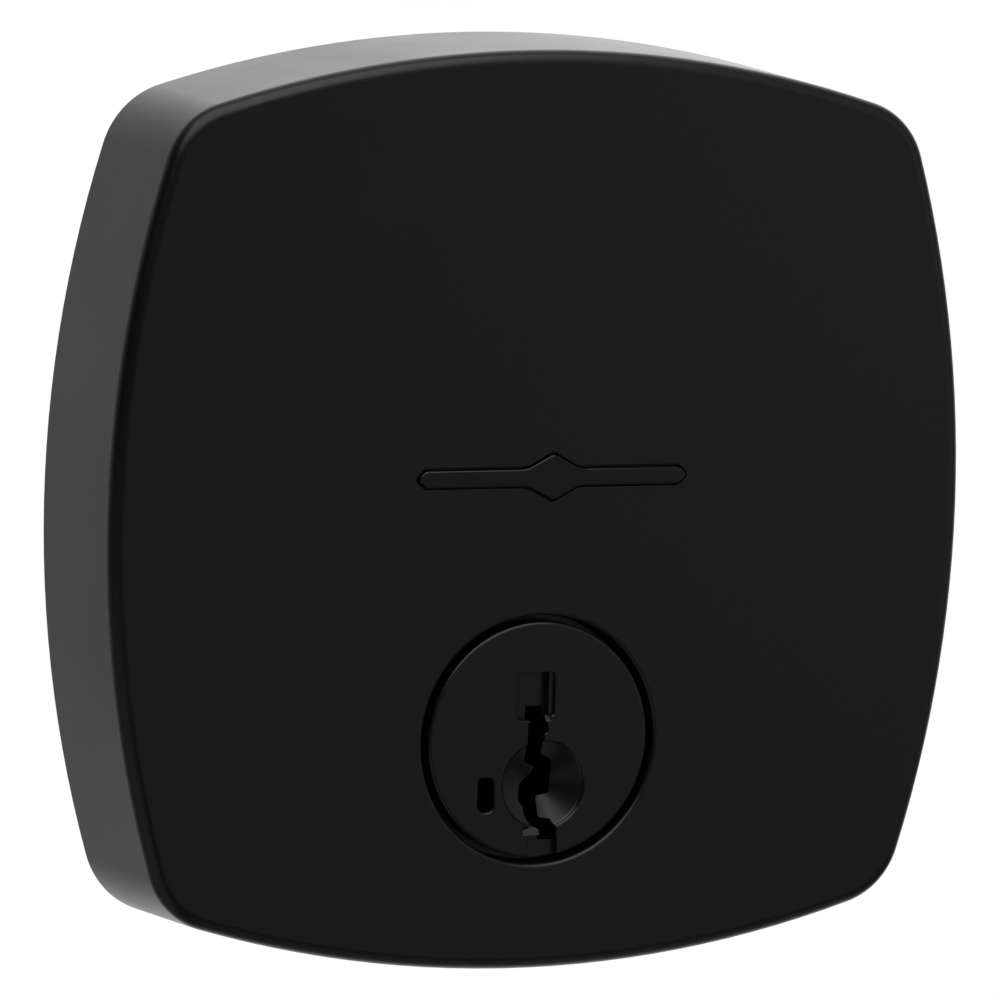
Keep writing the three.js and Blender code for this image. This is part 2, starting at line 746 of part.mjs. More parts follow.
function gearCase() {
  const { radius, wall, front, floorFront, floorRear, rear } = CASE;
  const drum = cut(
    rod(radius, front, rear, 0, 0, 48),
    rod(radius - wall, front - 1, floorFront, 0, 0, 48),
    rod(radius - wall, floorRear, rear + 1, 0, 0, 48),
  );
  const { spindleFront } = CASE_BOSS;
  const bosses = [rod(CASE_BOSS.spindle, spindleFront, floorFront + 0.5, 0, 0, 32)];
  for (const x of [-POST.x, POST.x]) bosses.push(rod(CASE_BOSS.post, front, rear, x, 0));
  for (const [x, z] of casePlaces()) bosses.push(rod(CASE_BOSS.screw, front, rear, x, z, 14));
  const { half: notchHalf, top: notchTop } = CASE_NOTCH;
  const through = (radius, x, z, sides) => rod(radius, front - 1, rear + 1, x, z, sides);
  const inFloor = (holeRadius, z) => rod(holeRadius, floorFront - 1, floorRear + 1, 0, z, 20);
  const tools = [
    rod(HOUSING.radius + GAP, front - 1, floorFront, 0, AXIS_Z, 36),
    box(-notchHalf, notchHalf, front - 1, floorFront, -radius - 1, notchTop),
    rod(CASE_BOSS.spindleBore, spindleFront - 1, floorRear + 1, 0, 0, 32),
    inFloor(TAIL_HOLE, AXIS_Z),
    inFloor(IDLER.bore, IDLER_Z),
  ];
  for (const x of [-POST.x, POST.x]) tools.push(through(POST.radius + GAP, x, 0));
  for (const [x, z] of casePlaces()) tools.push(through(CASE_BOSS.screwHole, x, z, 10));
  return cut(joined(drum, ...bosses), ...tools);
}

function gearCover() {
  const { radius, front, rear } = COVER_PLATE;
  const hole = (holeRadius, x, z, sides) => rod(holeRadius, front - 1, rear + 1, x, z, sides);
  const tools = [
    hole(SPINDLE.rearHub + GAP, 0, 0, 32),
    hole(IDLER.bore, 0, IDLER_Z, 20),
    hole(TAIL_HOLE, 0, AXIS_Z),
  ];
  for (const x of [-POST.x, POST.x]) tools.push(hole(POST.radius + GAP, x, 0));
  for (const [x, z] of casePlaces()) tools.push(hole(CASE_BOSS.screwHole, x, z, 10));
  return cut(rod(radius, front, rear, 0, 0, 48), ...tools);
}

// The cup that closes the spindle's tube in front of the blade's head.
function bladeCap() {
  const { radius, bore, front, floor, rear } = BLADE_CAP;
  return turned([
    [0, front],
    [radius, front],
    [radius, rear],
    [bore, rear],
    [bore, floor],
    [0, floor],
  ]);
}

// A round post with a hexagonal head in front of the back plate.
function mountingPost() {
  const { radius, bore, boreFront, rear, hex, hexHeight } = POST;
  const headRear = PLATE.front - GAP;
  const head = rod(hex, headRear - hexHeight, headRear, 0, 0, 6);
  const body = joined(head, rod(radius, headRear - hexHeight / 2, rear, 0, 0, 24));
  return cut(body, rod(bore, boreFront, rear + 1, 0, 0, 20));
}

// ---------------------------------------------------------------- assembly

add("front_cover", frontCover(), BLACK_COAT);
add("emblem", emblem(), GLOSS_BLACK);
add("back_plate", backPlate(), STEEL);
add("door_gasket", doorGasket(), RUBBER);
add("gear_case", gearCase(), BLACK_NYLON);
add("gear_cover", gearCover(), STEEL);
add("blade_cap", bladeCap(), BLACK_NYLON);
add("idler_axle", idlerAxle(), HARD_STEEL, { z: IDLER_Z });
add("mounting_post_left", mountingPost(), STEEL, { x: -POST.x });
add("mounting_post_right", mountingPost(), STEEL, { x: POST.x });

cornerPlaces().forEach(([x, z], i) => {
  const y = PLATE.rear + GAP;
  add(`cover_screw_${i + 1}`, screw(COVER_SCREW_LENGTH), HARD_STEEL, { x, y, z });
});
["left", "right"].forEach((side, i) => {
  const x = (i === 0 ? -1 : 1) * HOUSING.ear;
  const y = PLATE.rear + GAP;
  add(`cylinder_screw_${side}`, screw(EAR_SCREW_LENGTH), HARD_STEEL, { x, y, z: AXIS_Z });
});
casePlaces().forEach(([x, z], i) => {
  const y = COVER_PLATE.rear + GAP;
  add(`case_screw_${i + 1}`, screw(CASE_SCREW.length), HARD_STEEL, { x, y, z });
});

// Everything below turns about the key cylinder's axis.
const cylinder = new THREE.Group();
cylinder.position.z = AXIS_Z;
root.add(cylinder);
const inCylinder = { group: cylinder };

add("cylinder_housing", cylinderHousing(), ZINC, inCylinder);
add("plug", plug(), BLACK_COAT, inCylinder);
add("plug_gear", plugGear(), STEEL, inCylinder);
const plugScrew = screw(PLUG_SCREW.length, PLUG_SCREW.shank, PLUG_SCREW.head, PLUG_SCREW.headHeight);
add("plug_gear_screw", plugScrew, HARD_STEEL, { ...inCylinder, y: GEAR.rear + GAP });
add("pin_spring_cover", pinSpringCover(), BRASS, inCylinder);
for (const [side, x] of [["left", -DRILL_PIN.x], ["right", DRILL_PIN.x]]) {
  const pin = rod(DRILL_PIN.radius, DRILL_PIN.front, DRILL_PIN.rear);
  add(`anti_drill_pin_${side}`, pin, HARD_STEEL, { ...inCylinder, x, z: DRILL_PIN.z });
}
add("carrier", carrier(), ZINC, inCylinder);
{
  const { x, z, coil, wire, rear, turns } = CARRIER_SPRING;
  const length = rear - CARRIER_SPRING.front - GAP;
  const place = { ...inCylinder, x, y: rear, z, turnX: Math.PI / 2 };
  add("carrier_spring", spring(coil, wire, length, turns), STEEL, place);
}
add("sidebar", sidebar(), BRASS, inCylinder);
SIDEBAR_SPRING.afterPins.forEach((pin, i) => {
  const { x, coil, wire, length, turns } = SIDEBAR_SPRING;
  const place = { ...inCylinder, x, y: seatPlace(pin), turnY: Math.PI / 2 };
  add(`sidebar_spring_${i + 1}`, spring(coil, wire, length, turns), STEEL, place);
});
pinPlaces().forEach((y, i) => {
  const { coil, wire, foot, height, turns } = PIN_SPRING;
  add(`key_pin_${i + 1}`, keyPin(), BRASS, { ...inCylinder, x: PINS.x, y });
  add(`rack_${i + 1}`, rack(), HARD_STEEL, { ...inCylinder, y });
  const place = { ...inCylinder, x: PINS.x, y, z: foot };
  add(`pin_spring_${i + 1}`, spring(coil, wire, height, turns), STEEL, place);
});

add("idler_gear", idlerGear(), STEEL, { z: IDLER_Z });
add("spindle_gear", spindleGear(), STEEL);
add("torque_blade", torqueBlade(), STEEL);

export default root;
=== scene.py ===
import json
import math

import bmesh
import bpy
from mathutils import Matrix, Vector


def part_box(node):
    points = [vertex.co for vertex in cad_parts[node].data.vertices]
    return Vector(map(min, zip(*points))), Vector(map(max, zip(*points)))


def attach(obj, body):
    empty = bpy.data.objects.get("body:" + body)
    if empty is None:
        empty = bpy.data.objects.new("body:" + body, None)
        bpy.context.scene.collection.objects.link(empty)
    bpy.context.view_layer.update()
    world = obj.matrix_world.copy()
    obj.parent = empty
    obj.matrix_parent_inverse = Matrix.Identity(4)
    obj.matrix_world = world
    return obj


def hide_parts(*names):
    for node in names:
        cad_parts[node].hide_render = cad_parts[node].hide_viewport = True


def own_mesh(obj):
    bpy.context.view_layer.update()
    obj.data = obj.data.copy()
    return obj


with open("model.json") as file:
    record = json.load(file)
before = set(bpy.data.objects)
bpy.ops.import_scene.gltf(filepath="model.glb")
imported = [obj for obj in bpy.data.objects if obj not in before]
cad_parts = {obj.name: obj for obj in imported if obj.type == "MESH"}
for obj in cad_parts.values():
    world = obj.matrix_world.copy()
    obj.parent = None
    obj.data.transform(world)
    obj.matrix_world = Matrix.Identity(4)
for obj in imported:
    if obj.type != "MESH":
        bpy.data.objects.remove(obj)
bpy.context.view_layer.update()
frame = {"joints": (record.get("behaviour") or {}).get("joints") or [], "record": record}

# Everything is drawn in millimetres, where it stands in the frame, and its mesh is then
# written in metres. The lock's face looks along -Y and the door's outside face is y = 0.
MM = 0.001
TAU = 2 * math.pi


def box_mm(node):
    """The low and high corners of a CAD node's box, in millimetres."""
    low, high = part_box(node)
    return Vector(low) / MM, Vector(high) / MM


# ---------------------------------------------------------------- sizes

JOINT = {joint["name"]: joint for joint in frame["joints"]}
AXIS_Z = JOINT["plug_turn"]["pos_m"][2] / MM  # the key cylinder's axis
IDLER_Z = JOINT["idler_spin"]["pos_m"][2] / MM

COVER_LOW, COVER_HIGH = box_mm("front_cover")
FACE_Y = COVER_LOW.y  # the front face
DRAFT = 0.5  # the rear rim is this much larger on each side
HALF = COVER_HIGH.x - DRAFT  # half the front outline
SAG = 4.8  # how far each bowed side stands out at its middle
CORNER = 5.8
EDGE = 1.0  # radius of the front edge
WALL = 2.0
FACE = 2.4
RIM = 0.1  # radius of the rear rim's outer edge
BOSS_AT = 22.5
PLUG_HOLE = 9.1  # radius
HOLE_EDGE = 0.32

EMBLEM_X, EMBLEM_Z = 0.5, 2.6
EMBLEM_MARGIN = 0.15
EMBLEM_RECESS = 0.6

GAP = 0.3
CLEAR = 0.25  # between a sliding piece and its room

HOUSING = 9.3  # radius of the cylinder's housing
HOUSING_BORE = 7.6
EAR_AT = 12.4
EAR = 2.8
POST_AT = 19.05
POST = 3.2
CASE_WALL = 1.6
CASE_FLOOR = (13.0, 14.0)
GEAR_FRONT, GEAR_REAR = box_mm("idler_gear")[0].y, box_mm("idler_gear")[1].y
SPINDLE_HUB = 3.5
IDLER_BORE = 1.5
TAIL_HOLE = 3.2  # clears the plug's tail and its screw
SCREW_HOLE = 1.3
SCREW = {"shank": 1.0, "head": 2.2, "height": 1.4}
PLUG_SCREW = {"shank": 0.85, "head": 2.6, "height": 1.0}
BARREL = 7.3  # radius of the plug behind its flange
TAIL, TAIL_FLAT = 2.3, 1.6
PIN = 1.2
NOTCHES = (-0.2, 0.8)  # heights of the racks' teeth in the pins, about the plug's axis
LIFT = JOINT["key_pin_1_lift"]["range_m"][1] / MM
CARRIER_TRAVEL = JOINT["carrier_slide"]["range_m"][1] / MM
CARRIER_WELL = (-4.6, -3.5)  # the carrier spring's place, about the plug's axis
SIDEBAR_HALF = 0.6
SIDEBAR_INNER = -4.9
RAIL_HALF = 0.25
SIDEBAR_TRAVEL = JOINT["sidebar_slide"]["range_m"][1] / MM


# ---------------------------------------------------------------- outlines, as (x, z) points


def arc(cx, cz, radius, start, end, steps):
    """Points on an arc, both ends included."""
    angles = [start + (end - start) * i / steps for i in range(steps + 1)]
    return [(cx + radius * math.cos(a), cz + radius * math.sin(a)) for a in angles]


def stadium(reach, half, steps=14):
    """A bar with round ends, reach being where their centres are."""
    right = arc(reach, 0, half, -TAU / 4, TAU / 4, steps)
    return right + arc(-reach, 0, half, TAU / 4, TAU * 3 / 4, steps)


def turned_by(points, angle):
    c, s = math.cos(angle), math.sin(angle)
    return [(x * c - z * s, x * s + z * c) for x, z in points]


def circle(radius, steps=64, cx=0.0, cz=0.0):
    return arc(cx, cz, radius, 0, TAU, steps)[:-1]


def rectangle(x0, x1, z0, z1):
    return [(x0, z0), (x1, z0), (x1, z1), (x0, z1)]


def rounded(corners, radii, steps=5):
    """A closed polygon with each corner rounded. radii is one size, or one for each corner."""
    points = []
    count = len(corners)
    for i, corner in enumerate(corners):
        here = Vector(corner)
        before = Vector(corners[i - 1]) - here
        after = Vector(corners[(i + 1) % count]) - here
        size = radii[i] if isinstance(radii, (list, tuple)) else radii
        reach = min(size, before.length * 0.45, after.length * 0.45)
        start = here + before.normalized() * reach
        end = here + after.normalized() * reach
        for k in range(steps + 1):
            t = k / steps
            points.append(tuple(start * (1 - t) ** 2 + here * 2 * t * (1 - t) + end * t**2))
    return points


def grown(points, margin):
    """The outline moved outwards by margin, each corner along its own bisector."""
    area = sum(a[0] * b[1] - b[0] * a[1] for a, b in zip(points, points[1:] + points[:1]))
    side = 1 if area > 0 else -1
    moved = []
    for i, point in enumerate(points):
        here = Vector(point)
        before = (here - Vector(points[i - 1])).normalized()
        after = (Vector(points[(i + 1) % len(points)]) - here).normalized()
        bisector = Vector((before.y + after.y, -before.x - after.x)) * side
        stretch = max(0.35, 1 + before.dot(after)) / 2
        moved.append(tuple(here + bisector / 2 * margin / stretch))
    return moved


BOW_RADIUS = ((HALF - SAG) ** 2 + SAG**2) / (2 * SAG)
BOW_OFFSET = BOW_RADIUS - HALF
CORNER_AT = (math.sqrt(2 * (BOW_RADIUS - CORNER) ** 2 - BOW_OFFSET**2) - BOW_OFFSET) / 2
BOW_ANGLE = math.atan2(CORNER_AT, CORNER_AT + BOW_OFFSET)


def bowed_square(inset=0.0, bow_steps=26, corner_steps=16):
    """The cover's outline: four bowed sides and four corner arcs, moved in by inset."""
    points = []
    for side in range(4):
        turn = side * TAU / 4
        bow = (-BOW_OFFSET * math.cos(turn), -BOW_OFFSET * math.sin(turn))
        radius = BOW_RADIUS - inset
        points += arc(*bow, radius, turn - BOW_ANGLE, turn + BOW_ANGLE, bow_steps)[:-1]
        diagonal = turn + TAU / 8
        reach = CORNER_AT * math.sqrt(2)
        centre = (reach * math.cos(diagonal), reach * math.sin(diagonal))
        start, end = turn + BOW_ANGLE, turn + TAU / 4 - BOW_ANGLE
        points += arc(*centre, CORNER - inset, start, end, corner_steps)[:-1]
    return points


# ---------------------------------------------------------------- solids


def solid(bm):
    """A closed mesh as an object, to place or to cut and join with."""
    bmesh.ops.recalc_face_normals(bm, faces=bm.faces)
    mesh = bpy.data.meshes.new("solid")
    bm.to_mesh(mesh)
    bm.free()
    made = bpy.data.objects.new("solid", mesh)
    bpy.context.scene.collection.objects.link(made)
    return made


def loft(rings):
    """A solid through rings of the same number of (x, y, z) points."""
    bm = bmesh.new()
    rows = [[bm.verts.new(point) for point in ring] for ring in rings]
    for low, high in zip(rows, rows[1:]):
        for i in range(len(low)):
            bm.faces.new((low[i - 1], low[i], high[i], high[i - 1]))
    bm.faces.new(rows[0])
    bm.faces.new(reversed(rows[-1]))
    return solid(bm)


def levels(outline_at, sizes):
    """A solid through one outline at several sizes, each (margin, y) from front to rear."""
    return loft([[(x, y, z) for x, z in outline_at(margin)] for margin, y in sizes])


def prism(points, y0, y1):
    return levels(lambda margin: points, [(0, y0), (0, y1)])


def bar(x0, x1, y0, y1, z0, z1):
    return prism(rectangle(x0, x1, z0, z1), y0, y1)


def turned(profile, x=0.0, z=0.0, steps=96):
    """A (radius, y) profile turned about an axis along Y. Its ends are on the axis."""
    bm = bmesh.new()
    flat_start = profile[0][1] == profile[1][1]
    flat_end = profile[-1][1] == profile[-2][1]
    if flat_start:
        profile = profile[1:]
    if flat_end:
        profile = profile[:-1]
    rows = []
    for radius, y in profile:
        ring = circle(radius, steps, x, z) if radius > 1e-6 else [(x, z)]
        rows.append([bm.verts.new((px, y, pz)) for px, pz in ring])
    if flat_start:
        bm.faces.new(rows[0])
    if flat_end:
        bm.faces.new(rows[-1])
    for low, high in zip(rows, rows[1:]):
        for i in range(steps):
            corners = (low[(i - 1) % len(low)], low[i % len(low)])
            corners += (high[i % len(high)], high[(i - 1) % len(high)])
            corners = list(dict.fromkeys(corners))
            if len(corners) > 2:
                bm.faces.new(corners)
    return solid(bm)


def rod(radius, y0, y1, x=0.0, z=0.0, steps=64, edge=0.0):
    """A round bar along Y, with rounded ends where edge is given."""
    rounding = [(radius - edge + edge * math.sin(a), edge - edge * math.cos(a)) for a in quarter()]
    if not edge:
        rounding = [(radius, 0)]
    profile = [(0, y0)] + [(r, y0 + h) for r, h in rounding]
    profile += [(r, y1 - h) for r, h in reversed(rounding)] + [(0, y1)]
    return turned(profile, x, z, steps)


def quarter(steps=4):
    """The angles of a quarter turn, for a rounded edge."""
    return [TAU / 4 * i / steps for i in range(steps + 1)]


def edge_sizes(edge, y, inwards=1):
    """(margin, y) through a rounded outer edge whose flat end is at y."""
    return [(-edge * (1 - math.sin(a)), y + inwards * edge * (1 - math.cos(a))) for a in quarter()]


def both_edges(edge, y0, y1):
    """(margin, y) of a plate from y0 to y1 with both outer edges rounded."""
    return edge_sizes(edge, y0) + edge_sizes(edge, y1, -1)[::-1]


def mouth_sizes(lip, y, floor):
    """(margin, y) of a cutter whose mouth at y flares by lip, as a softened edge does."""
    flare = [(lip * (1 - math.sin(a)), y + lip * (1 - math.cos(a))) for a in quarter(5)]
    return [(lip, y - 1), (lip, y - 0.01)] + flare[1:] + [(0, floor)]


def bore(radius, front, rear, x=0.0, z=0.0, lip=0.12, steps=48):
    """A cutter for a round hole through a wall, with a softened edge at both faces."""
    profile = [(0, front - 1), (radius + lip, front - 1), (radius + lip, front)]
    profile += [(radius, front + lip), (radius, rear - lip), (radius + lip, rear)]
    profile += [(radius + lip, rear + 1), (0, rear + 1)]
    return turned(profile, x, z, steps)


def along_x(points, x0, x1):
    """A prism along X from (y, z) points."""
    return loft([[(x, y, z) for y, z in points] for x in (x0, x1)])


def thread_rings(root, crest, pitch, y0, y1, steps=32, per_turn=8):
    """Rings of points along Y that follow a screw thread, which fades out at both ends."""
    count = round((y1 - y0) / pitch * per_turn)
    rings = []
    for k in range(count + 1):
        y = y0 + (y1 - y0) * k / count
        fade = min(1, (y - y0) / pitch, (y1 - y) / pitch)
        ring = []
        for i in range(steps):
            wave = abs((y / pitch - i / steps) % 1 * 2 - 1)
            radius = root + (crest - root) * wave * fade
            angle = TAU * i / steps
            ring.append((radius * math.cos(angle), y, radius * math.sin(angle)))
        rings.append(ring)
    return rings


def coil_spring(coil, wire, height, turns):
    """A coil spring that stands on z = 0, with a closed turn at each end."""
    closed, per_turn, sides = 1.0, 24, 10
    total = turns + 2 * closed
    rise = (height - 2 * wire - 4 * closed * wire) / turns
    rings = []
    z = wire
    for k in range(round(total * per_turn) + 1):
        at = k / per_turn
        pitch = rise if closed <= at < total - closed else 2 * wire
        angle = TAU * at
        out = Vector((math.cos(angle), math.sin(angle), 0))
        ahead = Vector((-TAU * coil * out.y, TAU * coil * out.x, pitch)).normalized()
        side = ahead.cross(out)
        centre = out * coil + Vector((0, 0, z))
        ring = [centre + (out * math.cos(a) + side * math.sin(a)) * wire
                for a in (TAU * i / sides for i in range(sides))]
        rings.append([tuple(point) for point in ring])
        z += pitch / per_turn
    return loft(rings)


def upright(radius, z0, z1, x, y, steps=40):
    """A round bar along Z."""
    ring = circle(radius, steps)
    return loft([[(x + px, y + py, z) for px, py in ring] for z in (z0, z1)])


def bake_modifiers(piece):
    """Replaces the mesh by what its modifiers make of it."""
    graph = bpy.context.evaluated_depsgraph_get()
    mesh = bpy.data.meshes.new_from_object(piece.evaluated_get(graph))
    piece.modifiers.clear()
    piece.data = mesh
    return piece


def combine(piece, others, operation):
    for other in others:
        modifier = piece.modifiers.new("combine", "BOOLEAN")
        modifier.operation = operation
        modifier.solver = "EXACT"
        modifier.object = other
    bake_modifiers(piece)
    for other in others:
        bpy.data.objects.remove(other)
    return piece


def cut(piece, *tools):
    return combine(piece, tools, "DIFFERENCE")


def joined(piece, *others):
    return combine(piece, others, "UNION")


def moved(piece, x=0.0, y=0.0, z=0.0):
    piece.data.transform(Matrix.Translation((x, y, z)))
    return piece


def spun(piece, degrees, axis):
    piece.data.transform(Matrix.Rotation(math.radians(degrees), 4, axis))
    return piece


def eased(piece, width, segments=2, angle=35):
    """Rounds every edge that is sharper than angle."""
    modifier = piece.modifiers.new("edges", "BEVEL")
    modifier.width = width
    modifier.segments = segments
    modifier.limit_method = "ANGLE"
    modifier.angle_limit = math.radians(angle)
    return bake_modifiers(piece)


def shade(mesh, angle):
    """Smooth shading that stays sharp where two faces meet at more than angle."""
    bm = bmesh.new()
    bm.from_mesh(mesh)
    bmesh.ops.remove_doubles(bm, verts=bm.verts, dist=1e-4)
    bmesh.ops.dissolve_degenerate(bm, dist=1e-5, edges=bm.edges)
    for face in bm.faces:
        face.smooth = True
    for edge in bm.edges:
        both = len(edge.link_faces) == 2
        edge.smooth = both and edge.calc_face_angle() < math.radians(angle)
    bm.to_mesh(mesh)
    bm.free()


def place(piece, name, node, material=None, angle=32):
    """Finishes a piece that stands for a CAD node: shading, metres, material and body."""
    shade(piece.data, angle)
    piece.data.transform(Matrix.Scale(MM, 4))
    piece.name = piece.data.name = name
    piece.data.materials.clear()
    piece.data.materials.append(material or FINISH[SLOT[node]])
    modifier = piece.modifiers.new("normals", "WEIGHTED_NORMAL")
    modifier.keep_sharp = True
    modifier.weight = 100
    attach(piece, BODY[node])
    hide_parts(node)
    return piece


# ---------------------------------------------------------------- materials


def new_material(name, color, metallic, roughness):
    material = bpy.data.materials.new(name)
    material.use_nodes = True
    shader = material.node_tree.nodes["Principled BSDF"]
    shader.inputs["Base Color"].default_value = (*color, 1)
    shader.inputs["Metallic"].default_value = metallic
    shader.inputs["Roughness"].default_value = roughness
    return material, material.node_tree, shader


def add_node(tree, kind, **inputs):
    node = tree.nodes.new(kind)
    for name, value in inputs.items():
        node.inputs[name.replace("_", " ")].default_value = value
    return node


def places(tree, stretch=(1, 1, 1)):
    """Coordinates on the object, stretched for a grain that runs one way."""
    coordinates = tree.nodes.new("ShaderNodeTexCoord")
    mapping = add_node(tree, "ShaderNodeMapping", Scale=stretch)
    tree.links.new(coordinates.outputs["Object"], mapping.inputs["Vector"])
    return mapping.outputs["Vector"]


def noise(tree, vector, grain, detail=2.0, roughness=0.5):
    """Noise whose grains are about grain millimetres across."""
    node = add_node(tree, "ShaderNodeTexNoise", Scale=1 / (grain * MM), Detail=detail)
    node.inputs["Roughness"].default_value = roughness
    tree.links.new(vector, node.inputs["Vector"])
    return node.outputs["Fac"]


def ranged(tree, value, low, high):
    """The middle of a noise's range brought to low and high."""
    node = add_node(tree, "ShaderNodeMapRange", To_Min=low, To_Max=high)
    node.inputs["From Min"].default_value = 0.3
    node.inputs["From Max"].default_value = 0.7
    tree.links.new(value, node.inputs["Value"])
    return node.outputs["Result"]


def add_bump(tree, shader, height, depth, before=None):
    """Bump of about depth millimetres."""
    node = add_node(tree, "ShaderNodeBump", Strength=1.0, Distance=depth * MM)
    tree.links.new(height, node.inputs["Height"])
    if before is not None:
        tree.links.new(before, node.inputs["Normal"])
    tree.links.new(node.outputs["Normal"], shader.inputs["Normal"])
    return node.outputs["Normal"]


def tint(tree, shader, value, dark, light):
    node = tree.nodes.new("ShaderNodeMix")
    node.data_type = "RGBA"
    node.inputs["A"].default_value = (*dark, 1)
    node.inputs["B"].default_value = (*light, 1)
    tree.links.new(value, node.inputs["Factor"])
    tree.links.new(node.outputs["Result"], shader.inputs["Base Color"])


def powder_coat(name, color, rough_low, rough_high, grain, depth):
    """Black powder coat: a fine orange peel, and roughness that wanders slightly."""
    material, tree, shader = new_material(name, color, 0.0, rough_low)
    where = places(tree)
    cloud = noise(tree, where, 9.0, 3.0)
    tree.links.new(ranged(tree, cloud, rough_low, rough_high), shader.inputs["Roughness"])
    tint(tree, shader, cloud, [c * 0.85 for c in color], [c * 1.15 for c in color])
    peel = add_bump(tree, shader, noise(tree, where, grain * 4, 1.0), depth * 2)
    add_bump(tree, shader, noise(tree, where, grain, 2.0), depth, before=peel)
    return material


def metal(name, color, roughness, stretch=(1, 1, 1), grain=0.08, depth=0.0006, spread=0.08):
    """Bare or plated metal: brushed or cast grain, with cloudy roughness and colour."""
    material, tree, shader = new_material(name, color, 1.0, roughness)
    cloud = noise(tree, places(tree), 3.0, 4.0)
    rough = ranged(tree, cloud, roughness - spread, roughness + spread)
    tree.links.new(rough, shader.inputs["Roughness"])
    tint(tree, shader, cloud, [c * 0.90 for c in color], [min(1, c * 1.06) for c in color])
    add_bump(tree, shader, noise(tree, places(tree, stretch), grain, 3.0, 0.6), depth)
    return material


def plastic(name, color, roughness, grain=0.12, depth=0.004):
    """Moulded nylon with a fine spark-eroded texture."""
    material, tree, shader = new_material(name, color, 0.0, roughness)
    where = places(tree)
    cloud = noise(tree, where, 6.0, 3.0)
    rough = ranged(tree, cloud, roughness - 0.07, roughness + 0.07)
    tree.links.new(rough, shader.inputs["Roughness"])
    tint(tree, shader, cloud, [c * 0.8 for c in color], [c * 1.2 for c in color])
    add_bump(tree, shader, noise(tree, where, grain, 3.0), depth)
    return material


def cell_rubber(name, color):
    """Closed-cell rubber: small pores in a matt skin."""
    material, tree, shader = new_material(name, color, 0.0, 0.85)
    where = places(tree)
    pores = add_node(tree, "ShaderNodeTexVoronoi", Scale=1 / (0.45 * MM))
    tree.links.new(where, pores.inputs["Vector"])
    soft = noise(tree, where, 0.2, 3.0)
    tint(tree, shader, soft, [c * 0.7 for c in color], [c * 1.3 for c in color])
    skin = add_bump(tree, shader, pores.outputs["Distance"], 0.05)
    add_bump(tree, shader, soft, 0.02, before=skin)
    return material


COAT = (0.0030, 0.0031, 0.0034)
BLACK_COAT = powder_coat("black_coat", COAT, 0.31, 0.36, 0.16, 0.0022)
PLUG_COAT = powder_coat("plug_coat", COAT, 0.28, 0.32, 0.12, 0.0014)
GLOSS_BLACK = powder_coat("gloss_black", (0.002, 0.002, 0.0022), 0.08, 0.12, 0.30, 0.0006)
PLATED = metal("plated_steel", (0.56, 0.57, 0.58), 0.30, grain=0.10, depth=0.0012)
BRUSHED = metal("brushed_steel", (0.55, 0.56, 0.57), 0.32, (1, 0.05, 1), 0.12, 0.005, 0.03)
ROLLED = metal("rolled_steel", (0.50, 0.51, 0.52), 0.36, (0.05, 1, 1), 0.12, 0.003)
GEAR_STEEL = metal("gear_steel", (0.46, 0.45, 0.43), 0.36, (1, 0.1, 1), 0.09, 0.0012)
HARD_STEEL = metal("hard_steel", (0.36, 0.37, 0.39), 0.24)
ZINC = metal("zinc", (0.40, 0.41, 0.42), 0.46, grain=0.22, depth=0.004)
BRASS = metal("brass", (0.62, 0.45, 0.18), 0.30, (1, 1, 0.1), 0.07, 0.001)
NYLON = plastic("black_nylon", (0.018, 0.018, 0.020), 0.48)
RUBBER = cell_rubber("rubber", (0.022, 0.022, 0.023))

FINISH = {
    "black_coat": PLUG_COAT,
    "gloss_black": GLOSS_BLACK,
    "plated_steel": PLATED,
    "gear_steel": GEAR_STEEL,
    "hard_steel": HARD_STEEL,
    "zinc": ZINC,
    "brass": BRASS,
    "black_nylon": NYLON,
    "rubber": RUBBER,
}
SLOT = {part["node"]: part["material_slot"] for part in frame["record"]["subparts"]}
BODIES = frame["record"]["behaviour"]["bodies"]
BODY = {node: body for body, nodes in BODIES.items() for node in nodes}


# ---------------------------------------------------------------- cover


def corner_places():
    return [(x, z) for x in (-BOSS_AT, BOSS_AT) for z in (BOSS_AT, -BOSS_AT)]


def bowed_at(margin):
    return bowed_square(-margin)


def emblem_outline(margin=0.0):
    """A slim bar with a lozenge at its middle."""
    bar_half = 0.6 + margin
    lozenge = 1.7 + margin
    reach = 3.2 + margin
    end = 10.6 + margin
    neck = reach * (1 - bar_half / lozenge)
    right = [(end, 0), (end - bar_half, bar_half), (neck, bar_half), (0, lozenge)]
    top = right + [(-x, z) for x, z in reversed(right[:-1])]
    bottom = [(x, -z) for x, z in reversed(top[1:-1])]
    tip, shoulder, waist, crown = 0.35, 0.25, 0.5, 0.35
    half_radii = [tip, shoulder, waist, crown, waist, shoulder]
    points = rounded(top + bottom, half_radii * 2)
    return [(x + EMBLEM_X, z + EMBLEM_Z) for x, z in points]


